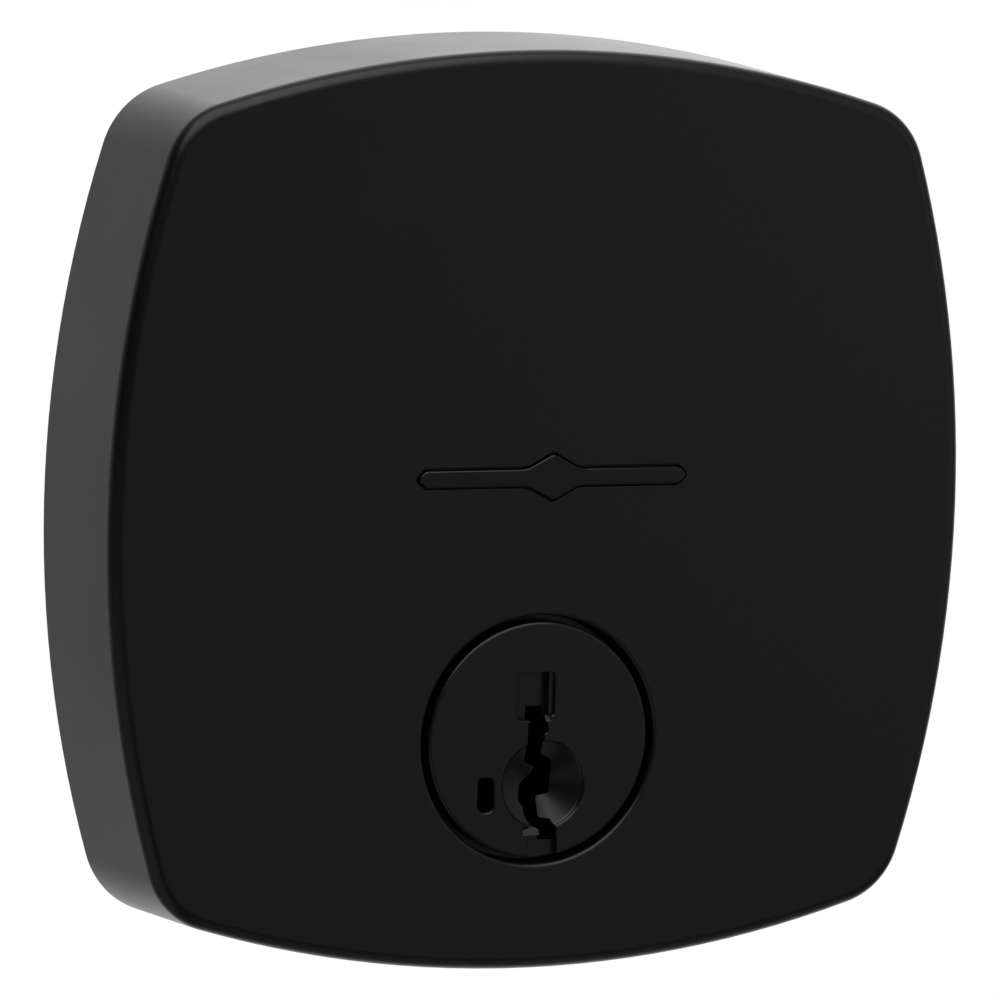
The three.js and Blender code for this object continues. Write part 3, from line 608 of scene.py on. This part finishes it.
def front_cover():
    fine = [TAU / 4 * i / 10 for i in range(11)]
    front = [(-EDGE * (1 - math.sin(a)), FACE_Y + EDGE * (1 - math.cos(a))) for a in fine]
    rear = [(DRAFT - RIM * (1 - math.cos(a)), -RIM * (1 - math.sin(a))) for a in quarter()]
    outside = levels(bowed_at, front + rear)
    inside = levels(bowed_at, [(-WALL, FACE_Y + FACE), (-WALL, 1)])
    body = cut(outside, inside)
    plate_front = box_mm("back_plate")[0].y
    for x, z in corner_places():
        joined(body, rod(3.2, FACE_Y + 1, plate_front - GAP, x, z, 48))
    for x, z in corner_places():
        cut(body, rod(1.25, -9.4, plate_front, x, z, 32))
    hole_at = lambda margin: circle(PLUG_HOLE + margin, 180)
    hole = levels(hole_at, mouth_sizes(HOLE_EDGE, FACE_Y, FACE_Y + 4))
    recess_at = lambda margin: emblem_outline(EMBLEM_MARGIN + margin)
    recess = levels(recess_at, mouth_sizes(0.08, FACE_Y, FACE_Y + EMBLEM_RECESS))
    cut(body, moved(hole, z=AXIS_Z), recess)
    place(body, "cover_shell", "front_cover", BLACK_COAT, 28)


def emblem():
    low, high = box_mm("emblem")
    piece = levels(emblem_outline, edge_sizes(0.14, low.y) + [(0, high.y)])
    place(piece, "emblem_bar", "emblem", angle=28)


def post_places():
    return [(-POST_AT, 0), (POST_AT, 0)]


def case_places():
    """Where the case's screws stand."""
    lows_highs = [box_mm(f"case_screw_{i}") for i in range(1, 5)]
    return [((low.x + high.x) / 2, (low.z + high.z) / 2) for low, high in lows_highs]


def back_plate():
    low, high = box_mm("back_plate")
    inset = high.x - HALF
    sheet = levels(lambda margin: bowed_at(inset + margin), both_edges(0.25, low.y, high.y))
    hole = lambda radius, x, z: bore(radius, low.y, high.y, x, z, 0.15)
    tools = [hole(HOUSING + 0.4, 0, AXIS_Z), hole(7.4, 0, 0)]
    tools += [hole(POST + GAP, x, z) for x, z in post_places()]
    tools += [hole(1.4, x, z) for x, z in corner_places() + [(-EAR_AT, AXIS_Z), (EAR_AT, AXIS_Z)]]
    tools += [hole(SCREW_HOLE, x, z) for x, z in case_places()]
    place(cut(sheet, *tools), "cover_backing", "back_plate", ROLLED)


def door_gasket():
    low, high = box_mm("door_gasket")
    inset = high.x - HALF
    edge = 0.3
    sheet = levels(lambda margin: bowed_at(inset + margin), both_edges(edge, low.y, high.y))
    hole = bore(27.3, low.y, high.y, lip=edge, steps=180)
    tools = [rod(2.7, low.y - 1, high.y + 1, x, z, 48) for x, z in corner_places()]
    place(cut(sheet, hole, *tools), "rubber_gasket", "door_gasket")


# ---------------------------------------------------------------- key plug


def keyway():
    """The slot for the key, with its wards, about the plug's axis."""
    corners = [
        (-0.7, 2.35), (-0.7, 1.3), (-0.82, 1.1), (-0.78, -1.75), (0.1, -2.05),
        (0.05, -2.5), (-1.05, -3.35), (-1.15, -4.6), (-0.8, -4.95), (-0.75, -5.6),
        (-0.35, -6.3), (0.35, -6.6), (0.35, -7.4), (1.6, -7.4), (1.65, -6.45), (1.25, -5.85),
        (0.38, -5.75), (0.38, -4.3), (1.35, -4.1), (1.45, -3.85), (1.45, -1.85),
        (1.25, -1.5), (0.5, -1.15), (0.47, 0.4), (0.75, 0.5), (0.75, 1.15), (0.55, 1.3), (0.65, 2.35),
    ]
    return rounded(corners, 0.12, 3)


DISH_X, DISH_Z, DISH_RADIUS = 0.5, -3.3, 3.2


def key_dish():
    """The round hollow about the lower part of the keyway: a short rim, then a shallow cone."""
    rim, depth, tip = 0.3, 1.5, 0.4
    profile = [(0, FACE_Y - 1), (DISH_RADIUS + 0.1, FACE_Y - 1), (DISH_RADIUS + 0.1, FACE_Y)]
    profile += [(DISH_RADIUS, FACE_Y + 0.1), (DISH_RADIUS - 0.02, FACE_Y + 0.2)]
    profile += [(DISH_RADIUS - 0.07, FACE_Y + 0.26), (DISH_RADIUS - 0.15, FACE_Y + rim)]
    profile += [(tip, FACE_Y + depth - 0.1), (tip / 2, FACE_Y + depth - 0.02), (0, FACE_Y + depth)]
    return turned(profile, DISH_X, DISH_Z, 72)


def pocket(x0, x1, z0, z1, depth, corner, lip):
    """A cutter for a pocket in the plug's face, with softened edges."""
    outline = rounded(rectangle(x0, x1, z0, z1), corner, 6)
    return levels(lambda margin: grown(outline, margin), mouth_sizes(lip, FACE_Y, FACE_Y + depth))


def ramp_cut(x0, x1, z_low, z_high, depth):
    """A cutter that slopes down into the face from z_low, as a wide chamfer on a lower edge."""
    slope = [(FACE_Y - 0.5, z_low), (FACE_Y, z_low), (FACE_Y + depth, z_high), (FACE_Y - 0.5, z_high)]
    return along_x(slope, x0, x1)


def face_cuts():
    """The hollows in the plug's face, about its axis."""
    tool_depth = box_mm("carrier")[0].y - FACE_Y
    top, depth = 4.9, 1.0
    key_recess = [
        pocket(-1.8, 0.45, 1.4, top, depth, [0.5, 0.2, 0.2, 0.3], 0.10),
        pocket(-0.1, 0.85, 1.72, top, depth, [0.1, 0.2, 0.2, 0.1], 0.05),
        pocket(-0.1, 1.2, 1.72, top, 0.32, [0.1, 0.3, 0.3, 0.1], 0.14),
        ramp_cut(0.0, 1.0, 1.32, 1.82, 0.5),
    ]
    tip_channel = [
        pocket(-0.6, 1.7, -10, -7.0, 0.6, 0.2, 0.08),
        ramp_cut(-1.0, 0.3, -7.0, -6.35, 0.36),
    ]
    tool_slot = pocket(-4.6, -3.4, -5.2, -2.7, tool_depth, [0.7, 0.6, 0.3, 0.35], 0.18)
    return [key_dish(), *key_recess, *tip_channel, tool_slot]


def double_d(radius, flat):
    """A round with two flats, left and right."""
    a = math.acos(flat / radius)
    return arc(0, 0, radius, a, TAU / 2 - a, 16) + arc(0, 0, radius, TAU / 2 + a, TAU - a, 16)


def carrier_section(margin):
    """The carrier's outline about the plug's axis, or its room's where margin is more than 0."""
    left, low_right, high_right, step = -9, -2.45 + margin, -1.6 + margin, -1.35 - margin
    bottom, top = -5.35 - margin, 5.65 + margin
    return [(left, bottom), (low_right, bottom), (low_right, step), (high_right, step),
        (high_right, top), (left, top)]


def pin_middles():
    """How far along Y each pin stands."""
    boxes = [box_mm(f"key_pin_{i}") for i in range(1, 6)]
    return [(low.y + high.y) / 2 for low, high in boxes]


def pin_x():
    low, high = box_mm("key_pin_1")
    return (low.x + high.x) / 2


def plug():
    """The face on its flange, and the barrel behind it with the rooms for the inner pieces."""
    high = box_mm("plug")[1]
    radius = high.x
    rim = 0.26
    window_top = NOTCHES[1] + 0.15 + LIFT + CLEAR
    flange_rear, barrel_rear = -9.7, 12.7
    step_front, step = -10.7, 8.95  # closes the ring between the plug and the cover from behind
    profile = [(0, FACE_Y)]
    profile += [(radius + margin, y) for margin, y in edge_sizes(rim, FACE_Y)]
    profile += [(radius, step_front), (step, step_front), (step, flange_rear), (BARREL, flange_rear)]
    profile += [(BARREL, barrel_rear - 0.3), (BARREL - 0.3, barrel_rear), (0, barrel_rear)]
    body = turned(profile, steps=180)
    joined(body, prism(double_d(TAIL, TAIL_FLAT), barrel_rear - 1, high.y))
    carrier_low, carrier_high = box_mm("carrier")
    strip_low, strip_high = box_mm("pin_spring_cover")
    key = keyway()
    tools = face_cuts()
    tools.append(levels(lambda m: grown(key, m), mouth_sizes(0.07, FACE_Y, barrel_rear - 0.8)))
    room_rear = carrier_high.y + CARRIER_TRAVEL + GAP
    tools.append(prism(carrier_section(CLEAR), carrier_low.y - GAP, room_rear))
    strip_front, strip_rear = strip_low.y - CLEAR, strip_high.y + CLEAR
    strip_z = strip_low.z - AXIS_Z - GAP
    tools.append(bar(strip_low.x - CLEAR, strip_high.x + CLEAR, strip_front, strip_rear, strip_z, 8.3))
    tools.append(rod(1.1, 10.5, high.y + 1))
    for y in pin_middles():
        tools.append(upright(PIN + 0.2, -1.6, BARREL + 0.2, pin_x(), y))
        tools.append(bar(-1.65, -0.95, y - 0.7, y + 0.7 + CARRIER_TRAVEL, -0.6, window_top))
    for x in (-5.4, 5.4):
        tools.append(rod(1.0, -11.1, -3, x, 3.8, 32))
    cut(body, *tools)
    place(moved(body, z=AXIS_Z), "key_plug", "plug", PLUG_COAT, 28)


# ---------------------------------------------------------------- inside the cylinder


def cylinder_housing():
    low, high = box_mm("cylinder_housing")
    ear_front, ear_rear = -8.6, -4.3
    body = rod(HOUSING, low.y, high.y, steps=96, edge=0.3)
    joined(body, levels(lambda m: stadium(EAR_AT, EAR + m), both_edges(0.3, ear_front, ear_rear)))
    groove_half = SIDEBAR_HALF + GAP
    groove_floor = HOUSING_BORE + SIDEBAR_TRAVEL
    sidebar_low, sidebar_high = box_mm("sidebar")
    front, rear = sidebar_low.y - 0.4, sidebar_high.y + 0.4
    tools = [bore(HOUSING_BORE, low.y, high.y, lip=0.2, steps=96)]
    tools += [bore(1.25, ear_front, ear_rear, side * EAR_AT, 0) for side in (-1, 1)]
    tools.append(bar(-groove_floor, 0, front, rear, -groove_half, groove_half))
    tools.append(bar(-groove_half, groove_half, front, rear, 0, groove_floor))
    place(moved(cut(body, *tools), z=AXIS_Z), "cylinder_body", "cylinder_housing")


def key_pins():
    low, high = box_mm("key_pin_1")
    bottom, top = low.z - AXIS_Z, high.z - AXIS_Z
    soft = 0.12
    profile = [(0, bottom), (PIN * 0.26, bottom), (PIN * 0.34, bottom + 0.04)]
    profile += [(PIN - 0.05, bottom + 0.76), (PIN, bottom + 0.86)]
    profile += [(PIN, top - soft), (PIN - soft, top), (0, top)]
    for i, y in enumerate(pin_middles(), 1):
        pin = spun(turned(profile, steps=48), 90, "X")
        cut(pin, *[bar(-2, -0.55, -2, 2, z - 0.3, z + 0.3) for z in NOTCHES])
        place(moved(pin, pin_x(), y, AXIS_Z), f"tumbler_pin_{i}", f"key_pin_{i}")


def racks():
    low, high = box_mm("rack_1")
    half = (high.y - low.y) / 2
    flank = -1.65
    bottom, top = low.z - AXIS_Z, high.z - AXIS_Z
    for i, y in enumerate(pin_middles(), 1):
        block = bar(low.x, flank, -half, half, bottom, top)
        joined(block, *[bar(flank - 0.05, high.x, -0.45, 0.45, z - 0.15, z + 0.15) for z in NOTCHES])
        cut(block, bar(low.x - 1, low.x + 0.4, -2, 2, -0.35, 0.35))
        place(moved(eased(block, 0.06), y=y, z=AXIS_Z), f"toothed_rack_{i}", f"rack_{i}")


def carrier():
    low, high = box_mm("carrier")
    body = prism(carrier_section(0), low.y, high.y)
    combine(body, [rod(-low.x, low.y, high.y, steps=96, edge=0.2)], "INTERSECT")
    rack_low, rack_high = box_mm("rack_1")
    rack_half = (rack_high.y - rack_low.y) / 2 + CLEAR
    rack_bottom, rack_top = rack_low.z - AXIS_Z, rack_high.z - AXIS_Z + LIFT
    tools = []
    slot_x = (rack_low.x - 0.2, -1)
    for y in pin_middles():
        tools.append(bar(*slot_x, y - rack_half, y + rack_half, rack_bottom - GAP, rack_top + CLEAR))
    bar_half, rail_half = SIDEBAR_HALF + CLEAR, RAIL_HALF + CLEAR
    bar_rear = box_mm("sidebar")[1].y
    tools.append(bar(-9, SIDEBAR_INNER + 0.2, low.y - 1, bar_rear + 0.4, -bar_half, bar_half))
    tools.append(bar(-5, -4, low.y - 0.9, bar_rear + 0.36, -rail_half, rail_half))
    well_front = 5.6
    tools.append(rod(0.95, well_front, high.y + 1, *CARRIER_WELL, 32))
    for i in (1, 2):
        spring_low, spring_high = box_mm(f"sidebar_spring_{i}")
        well = spun(rod(0.65, -1.1, 1.1, steps=32), 90, "Z")
        tools.append(moved(well, -3.8, (spring_low.y + spring_high.y) / 2))
    place(moved(cut(body, *tools), z=AXIS_Z), "rack_carrier", "carrier")


def sidebar():
    """A bar with a roof-shaped outer edge, and a rail inside that faces the racks."""
    low, high = box_mm("sidebar")
    outer, inner, tip, slope = low.x, SIDEBAR_INNER, SIDEBAR_HALF * 0.45, 0.35
    half, rail = SIDEBAR_HALF, RAIL_HALF
    section = [(outer, -tip), (outer + slope, -half), (inner, -half)]
    section += [(inner, -rail), (high.x, -rail), (high.x, rail), (inner, rail)]
    section += [(inner, half), (outer + slope, half), (outer, tip)]
    body = prism(section, low.y, high.y)
    place(moved(eased(body, 0.07), z=AXIS_Z), "locking_sidebar", "sidebar")


def springs():
    for i, y in enumerate(pin_middles(), 1):
        low, high = box_mm(f"pin_spring_{i}")
        height = high.z - low.z
        piece = moved(coil_spring(0.75, 0.14, height, 4), pin_x(), y, low.z)
        place(piece, f"pin_coil_{i}", f"pin_spring_{i}", angle=60)
        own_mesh(piece)
    low, high = box_mm("carrier_spring")
    length = high.y - low.y
    piece = spun(coil_spring(0.6, 0.13, length, 5), -90, "X")
    moved(piece, CARRIER_WELL[0], low.y, CARRIER_WELL[1] + AXIS_Z)
    place(piece, "carrier_coil", "carrier_spring", angle=60)
    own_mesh(piece)
    for i in (1, 2):
        low, high = box_mm(f"sidebar_spring_{i}")
        middle = (low + high) / 2
        piece = spun(coil_spring(0.36, 0.1, high.x - low.x, 3), 90, "Y")
        moved(piece, low.x, middle.y, AXIS_Z)
        place(piece, f"sidebar_coil_{i}", f"sidebar_spring_{i}", angle=60)


def spring_cover():
    low, high = box_mm("pin_spring_cover")
    outline = rounded(rectangle(low.x, high.x, low.z, high.z), 0.1, 3)
    strip = levels(lambda margin: grown(outline, margin), both_edges(0.1, low.y, high.y))
    place(strip, "spring_strip", "pin_spring_cover")


def drill_pins():
    for side in ("left", "right"):
        low, high = box_mm(f"anti_drill_pin_{side}")
        middle = (low + high) / 2
        pin = rod(0.8, low.y, high.y, middle.x, middle.z, 40, 0.15)
        place(pin, f"drill_stop_{side}", f"anti_drill_pin_{side}")


# ---------------------------------------------------------------- gears


def gear_outline(teeth, phase):
    """An involute gear with a tooth pointing up at phase 0, in tooth pitches."""
    module, addendum, dedendum, backlash = 0.75, 0.55, 0.85, 0.12
    pressure = math.radians(20)
    pitch = module * teeth / 2
    base = pitch * math.cos(pressure)
    flank = [pitch - dedendum, base, (base + pitch) / 2, pitch, pitch + addendum / 2, pitch + addendum]

    def involute(radius):
        tangent = math.sqrt(max(0, (radius / base) ** 2 - 1))
        return tangent - math.atan(tangent)

    half_tooth = math.pi / (2 * teeth) - backlash / (2 * pitch)
    points = []
    for i in range(teeth):
        middle = TAU / 4 + (i + phase) * TAU / teeth
        for side, radii in ((-1, flank), (1, flank[::-1])):
            for radius in radii:
                lean = half_tooth + involute(pitch) - involute(max(radius, base))
                angle = middle + side * lean
                points.append((radius * math.cos(angle), radius * math.sin(angle)))
    return rounded(points, 0.09, 2)


def gear(teeth, phase):
    outline = gear_outline(teeth, phase)
    return levels(lambda margin: grown(outline, margin), both_edges(0.07, GEAR_FRONT, GEAR_REAR))


def bow_tie():
    """The slot that lets the flat blade swing in the spindle before it turns it."""
    radius, half_gap = 2.85, 1.1
    play = math.radians(JOINT["blade_play"]["range_deg"][1])
    apex = half_gap / math.cos(play)
    start = TAU / 4 - play - math.asin(half_gap / radius)
    top = arc(0, 0, radius, start, TAU / 2 - start, 20)
    bottom = arc(0, 0, radius, TAU / 2 + start, TAU - start, 20)
    return [(apex, 0)] + top + [(-apex, 0)] + bottom


def gears():
    low, high = box_mm("spindle_gear")
    spindle = gear(12, 0.5)
    front_hub = rod(3.9, low.y, GEAR_FRONT + 0.5, edge=0.25)
    rear_hub = rod(SPINDLE_HUB, GEAR_REAR - 0.5, high.y, edge=0.3)
    joined(spindle, front_hub, rear_hub)
    slot = bow_tie()
    mouths = [(0.2, low.y - 1), (0.2, low.y), (0, low.y + 0.2)]
    mouths += [(0, high.y - 0.2), (0.2, high.y), (0.2, high.y + 1)]
    cut(spindle, levels(lambda margin: grown(slot, margin), mouths))
    place(spindle, "spindle", "spindle_gear")
    idler = cut(gear(10, 0), bore(IDLER_BORE, GEAR_FRONT, GEAR_REAR))
    place(moved(idler, z=IDLER_Z), "idler", "idler_gear")
    hole = double_d(TAIL + 0.2, TAIL_FLAT + 0.2)
    driver = cut(gear(12, 0.5), prism(hole, GEAR_FRONT - 1, GEAR_REAR + 1))
    place(moved(driver, z=AXIS_Z), "plug_pinion", "plug_gear")


def idler_axle():
    low, high = box_mm("idler_axle")
    radius, dome = high.x, 0.45
    profile = [(0, low.y), (radius - 0.15, low.y), (radius, low.y + 0.15)]
    for a in quarter(6)[::-1]:
        profile.append((radius * math.sin(a) ** 0.8, high.y - dome * (1 - math.cos(a))))
    place(turned(profile, 0, IDLER_Z, 48), "idler_pin", "idler_axle")


def torque_blade():
    low, high = box_mm("torque_blade")
    head_rear = low.y + 1.3
    section = rounded(rectangle(-0.9, 0.9, -2.4, 2.4), 0.28, 4)
    sizes = [(1, head_rear - 0.5), (1, high.y - 2), (0.72, high.y - 0.18), (0.62, high.y)]
    blade = loft([[(x * share, y, z * share) for x, z in section] for share, y in sizes])
    joined(blade, rod(high.x, low.y, head_rear, steps=72, edge=0.2))
    place(blade, "tail_blade", "torque_blade", BRUSHED)


def blade_cap():
    low, high = box_mm("blade_cap")
    outer, inner, floor, soft = high.x, 2.8, 7.6, 0.2
    profile = [(0, low.y), (outer - 0.4, low.y), (outer, low.y + 0.4), (outer, high.y - soft)]
    profile += [(outer - soft, high.y), (inner + soft, high.y), (inner, high.y - soft)]
    profile += [(inner, floor + soft), (inner - soft, floor), (0, floor)]
    place(turned(profile), "spindle_cap", "blade_cap")


# ---------------------------------------------------------------- case, posts and screws


def gear_case():
    low, high = box_mm("gear_case")
    outer, inner, soft = high.x, high.x - CASE_WALL, 0.25
    floor_front, floor_rear = CASE_FLOOR
    profile = [(0, floor_front), (inner - 0.5, floor_front), (inner, floor_front - 0.5)]
    profile += [(inner, low.y + soft), (inner + soft, low.y)]
    profile += [(outer - soft, low.y), (outer, low.y + soft)]
    profile += [(outer, high.y - 1.0), (outer - 0.35, high.y - 0.12), (outer - 0.5, high.y)]
    profile += [(inner + soft, high.y), (inner, high.y - soft), (inner, floor_rear + soft)]
    profile += [(inner - soft, floor_rear), (0, floor_rear)]
    drum = turned(profile, steps=180)
    spindle_front = 6.0
    bosses = [rod(6.2, spindle_front, floor_front + 0.5, edge=0.3)]
    bosses += [rod(5.0, low.y, high.y, x, z, 64, soft) for x, z in post_places()]
    bosses += [rod(2.6, low.y, high.y, x, z, 40, soft) for x, z in case_places()]
    for degrees in (0, 35, 90, 145, 180):
        reach = inner + 0.3 if degrees == 90 else 15 if degrees % 180 == 0 else 19.5
        rib = turned_by(rectangle(5, reach, -0.5, 0.5), math.radians(degrees))
        bosses.append(prism(rib, 8.5, floor_front + 0.3))
    joined(drum, *bosses)
    notch_half, notch_top = 5, -21
    tools = [
        rod(HOUSING + GAP, low.y - 1, floor_front, 0, AXIS_Z, 96),
        bar(-notch_half, notch_half, low.y - 1, floor_front, -outer - 1, notch_top),
        bore(4.2, spindle_front, floor_rear, lip=0.3),
        bore(TAIL_HOLE, floor_front, floor_rear, 0, AXIS_Z),
        bore(IDLER_BORE, floor_front, floor_rear, 0, IDLER_Z),
    ]
    tools += [bore(POST + GAP, low.y, high.y, x, z, 0.3) for x, z in post_places()]
    tools += [bore(SCREW_HOLE, low.y, high.y, x, z, 0.2) for x, z in case_places()]
    place(cut(drum, *tools), "gear_drum", "gear_case")


def gear_cover():
    low, high = box_mm("gear_cover")
    plate = rod(high.x, low.y, high.y, steps=180, edge=0.22)
    hole = lambda radius, x, z: bore(radius, low.y, high.y, x, z, 0.16)
    tools = [hole(SPINDLE_HUB + GAP, 0, 0), hole(IDLER_BORE, 0, IDLER_Z), hole(TAIL_HOLE, 0, AXIS_Z)]
    tools += [hole(POST + GAP, x, z) for x, z in post_places()]
    tools += [hole(SCREW_HOLE, x, z) for x, z in case_places()]
    place(cut(plate, *tools), "gear_lid", "gear_cover", ROLLED)


def mounting_posts():
    for side, (x, z) in zip(("left", "right"), post_places()):
        node = f"mounting_post_{side}"
        low, high = box_mm(node)
        hexagon = turned_by(circle(high.z, 6), TAU / 4)
        head_rear = low.y + 1.4
        head = levels(lambda margin: grown(hexagon, margin), both_edges(0.3, low.y, head_rear))
        joined(head, rod(POST, head_rear - 0.7, high.y, steps=72, edge=0.35))
        bore_front, root, crest, pitch = 2.0, 2.1, 2.36, 1.06
        thread = loft(thread_rings(root, crest, pitch, bore_front, high.y + pitch, 40))
        mouth = [(0, high.y - 0.5), (root, high.y - 0.5), (2.6, high.y + 0.02)]
        mouth += [(2.6, high.y + 1), (0, high.y + 1)]
        cut(head, thread, turned(mouth, steps=40))
        place(moved(head, x, z=z), f"threaded_post_{side}", node, PLATED)


def cross(reach, half):
    """A plus sign."""
    arm = [(reach, -half), (reach, half), (half, half)]
    return [point for turn in range(4) for point in turned_by(arm, turn * TAU / 4)]


def screw(length, thread, shank, head, height):
    """A pan-head screw that points towards -Y, its origin under the head, with a cross recess."""
    ring = lambda radius, y: [(px, y, pz) for px, pz in circle(radius, 32)]
    soft, start = 0.12, 0.35 - length
    rings = [ring(shank * 0.6, -length), ring(shank * 0.9, start)]
    rings += thread_rings(shank * 0.9, shank + 0.12, 0.7, start + 0.01, start + thread)
    rings += [ring(shank, start + thread + 0.1), ring(shank, -soft)]
    rings += [ring(shank + soft, 0), ring(head - soft, 0)]
    rings += [ring(head, soft), ring(head, height * 0.35)]
    for a in quarter(6)[1:]:
        rings.append(ring(head * (0.55 + 0.45 * math.cos(a)), height * (0.35 + 0.65 * math.sin(a))))
    body = loft(rings)
    recess = [(height + 0.2, head * 0.66, head * 0.16), (height * 0.25, head * 0.2, head * 0.06)]
    return cut(body, loft([[(x, y, z) for x, z in cross(reach, half)] for y, reach, half in recess]))


def fit_screw(node, name, thread, sizes):
    """Makes the screw that a CAD node stands for, where it stands."""
    low, high = box_mm(node)
    middle = (low + high) / 2
    under_head = high.y - sizes["height"]
    piece = screw(under_head - low.y, thread, **sizes)
    place(moved(piece, middle.x, under_head, middle.z), name, node, angle=40)


def screws():
    for i in range(1, 5):
        fit_screw(f"cover_screw_{i}", f"cover_bolt_{i}", 4.5, SCREW)
        fit_screw(f"case_screw_{i}", f"case_bolt_{i}", 6.0, SCREW)
    for side in ("left", "right"):
        fit_screw(f"cylinder_screw_{side}", f"cylinder_bolt_{side}", 4.5, SCREW)
    fit_screw("plug_gear_screw", "pinion_bolt", 3.4, PLUG_SCREW)


def build():
    front_cover()
    emblem()
    back_plate()
    door_gasket()
    plug()
    cylinder_housing()
    key_pins()
    racks()
    carrier()
    sidebar()
    springs()
    spring_cover()
    drill_pins()
    gears()
    idler_axle()
    torque_blade()
    blade_cap()
    gear_case()
    gear_cover()
    mounting_posts()
    screws()


build()


# ---------------------------------------------------------------- floor, light and camera


def floor():
    """A pale round floor below the lock, which its reflections leave out."""
    height, radius = -0.12, 0.42
    place_at = (0, 0, height)
    bpy.ops.mesh.primitive_circle_add(vertices=96, radius=radius, fill_type="NGON", location=place_at)
    disc = bpy.context.object
    disc.name = "floor"
    material, _, shader = new_material("pale_floor", (0.80, 0.80, 0.80), 0.0, 0.9)
    shader.inputs["Emission Color"].default_value = (1, 1, 1, 1)
    shader.inputs["Emission Strength"].default_value = 0.56
    disc.data.materials.append(material)
    disc.visible_glossy = False


def math_node(tree, operation, a, b):
    node = tree.nodes.new("ShaderNodeMath")
    node.operation = operation
    for socket, value in zip(node.inputs, (a, b)):
        if isinstance(value, (int, float)):
            socket.default_value = value
        else:
            tree.links.new(value, socket)
    return node.outputs["Value"]


def ramp(tree, value, start, end, low, high):
    """low before start, high after end and smooth between them."""
    node = add_node(tree, "ShaderNodeMapRange", From_Min=start, From_Max=end, To_Min=low, To_Max=high)
    node.interpolation_type = "SMOOTHSTEP"
    tree.links.new(value, node.inputs["Value"])
    return node.outputs["Result"]


def product(tree, *terms):
    result = terms[0]
    for term in terms[1:]:
        result = math_node(tree, "MULTIPLY", result, term)
    return result


def reflected_room(tree, x, y, z):
    """What the lock reflects from the direction (x, y, z): bright behind it, dim before it."""
    behind = product(
        tree,
        ramp(tree, y, -0.10, 0.95, 0.0, 1.0),
        ramp(tree, x, -0.50, 0.55, 0.48, 1.75),
        ramp(tree, x, 0.50, 0.95, 1.0, 0.20),
        ramp(tree, z, -0.35, 0.02, 0.76, 1.0),
    )
    front_right = product(
        tree,
        ramp(tree, x, -0.28, 0.42, 0.012, 0.205),
        ramp(tree, y, -0.6, 0.1, 1.0, 0.6),
        ramp(tree, y, 0.3, 0.7, 1.0, 0.0),
        ramp(tree, z, -0.5, -0.2, 0.1, 1.0),
    )
    far_right = product(tree, ramp(tree, x, 0.6, 0.9, 0.0, 0.22), ramp(tree, y, 0.0, 0.3, 0.0, 1.0))
    below = product(tree, ramp(tree, z, -0.75, -0.5, 0.2, 0.0), ramp(tree, x, 0.0, 0.3, 0.1, 1.0))
    low_left = product(
        tree,
        ramp(tree, x, -0.5, -0.15, 0.25, 0.0),
        ramp(tree, z, -0.30, -0.15, 1.0, 0.0),
        ramp(tree, y, -0.1, 0.3, 1.0, 0.0),
    )
    total = behind
    for term in (front_right, far_right, below, low_left):
        total = math_node(tree, "ADD", total, term)
    return total


def studio():
    """The world: plain white to the camera, and the reflected room to everything else."""
    world = bpy.data.worlds.new("studio")
    bpy.context.scene.world = world
    world.use_nodes = True
    tree = world.node_tree
    coordinates = tree.nodes.new("ShaderNodeTexCoord")
    split = tree.nodes.new("ShaderNodeSeparateXYZ")
    tree.links.new(coordinates.outputs["Generated"], split.inputs["Vector"])
    room = tree.nodes["Background"]
    tree.links.new(reflected_room(tree, *split.outputs), room.inputs["Color"])
    white = add_node(tree, "ShaderNodeBackground", Color=(1, 1, 1, 1), Strength=1.0)
    path = tree.nodes.new("ShaderNodeLightPath")
    mix = tree.nodes.new("ShaderNodeMixShader")
    tree.links.new(path.outputs["Is Camera Ray"], mix.inputs["Fac"])
    tree.links.new(room.outputs["Background"], mix.inputs[1])
    tree.links.new(white.outputs["Background"], mix.inputs[2])
    tree.links.new(mix.outputs["Shader"], tree.nodes["World Output"].inputs["Surface"])


def soft_light(name, location, size, radiance):
    """A rectangular soft box of the given brightness, aimed at the frame's origin."""
    data = bpy.data.lights.new(name, "AREA")
    data.shape = "RECTANGLE"
    data.size, data.size_y = size
    data.energy = radiance * math.pi * size[0] * size[1]
    light = bpy.data.objects.new(name, data)
    light.location = location
    light.visible_camera = False
    light.rotation_euler = (-Vector(location)).to_track_quat("-Z", "Y").to_euler()
    bpy.context.scene.collection.objects.link(light)


def camera():
    """The photograph's view: from the left and a little above, with a slight roll."""
    yaw, pitch, roll = math.radians(23.45), math.radians(6.72), math.radians(1.73)
    distance, lens = 0.589, 288.9
    aim_right, aim_down = 0.00169, 0.00056
    level = Vector((-math.sin(yaw), -math.cos(yaw), 0))
    back = level * math.cos(pitch) + Vector((0, 0, math.sin(pitch)))
    right = Vector((math.cos(yaw), -math.sin(yaw), 0))
    up = back.cross(right)
    aim = (right * math.cos(roll) + up * math.sin(roll)) * aim_right
    aim -= (up * math.cos(roll) - right * math.sin(roll)) * aim_down
    data = bpy.data.cameras.new("camera")
    data.lens = lens
    data.sensor_width = 36
    made = bpy.data.objects.new("camera", data)
    bpy.context.scene.collection.objects.link(made)
    place_at = back * distance
    look = (aim - place_at).normalized()
    side = look.cross(Vector((0, 0, 1))).normalized()
    head = side.cross(look)
    turned_side = side * math.cos(roll) + head * math.sin(roll)
    turned_head = head * math.cos(roll) - side * math.sin(roll)
    columns = [turned_side, turned_head, -look]
    made.matrix_world = Matrix.Translation(place_at) @ Matrix(columns).transposed().to_4x4()
    bpy.context.scene.camera = made


floor()
studio()
soft_light("soft_box", (-0.10, -0.38, 0.65), (0.95, 0.90), 1.5)
soft_light("side_panel", (0.42, -0.42, 0.14), (0.45, 0.5), 0.17)
camera()
bpy.context.scene.view_settings.view_transform = "Standard"
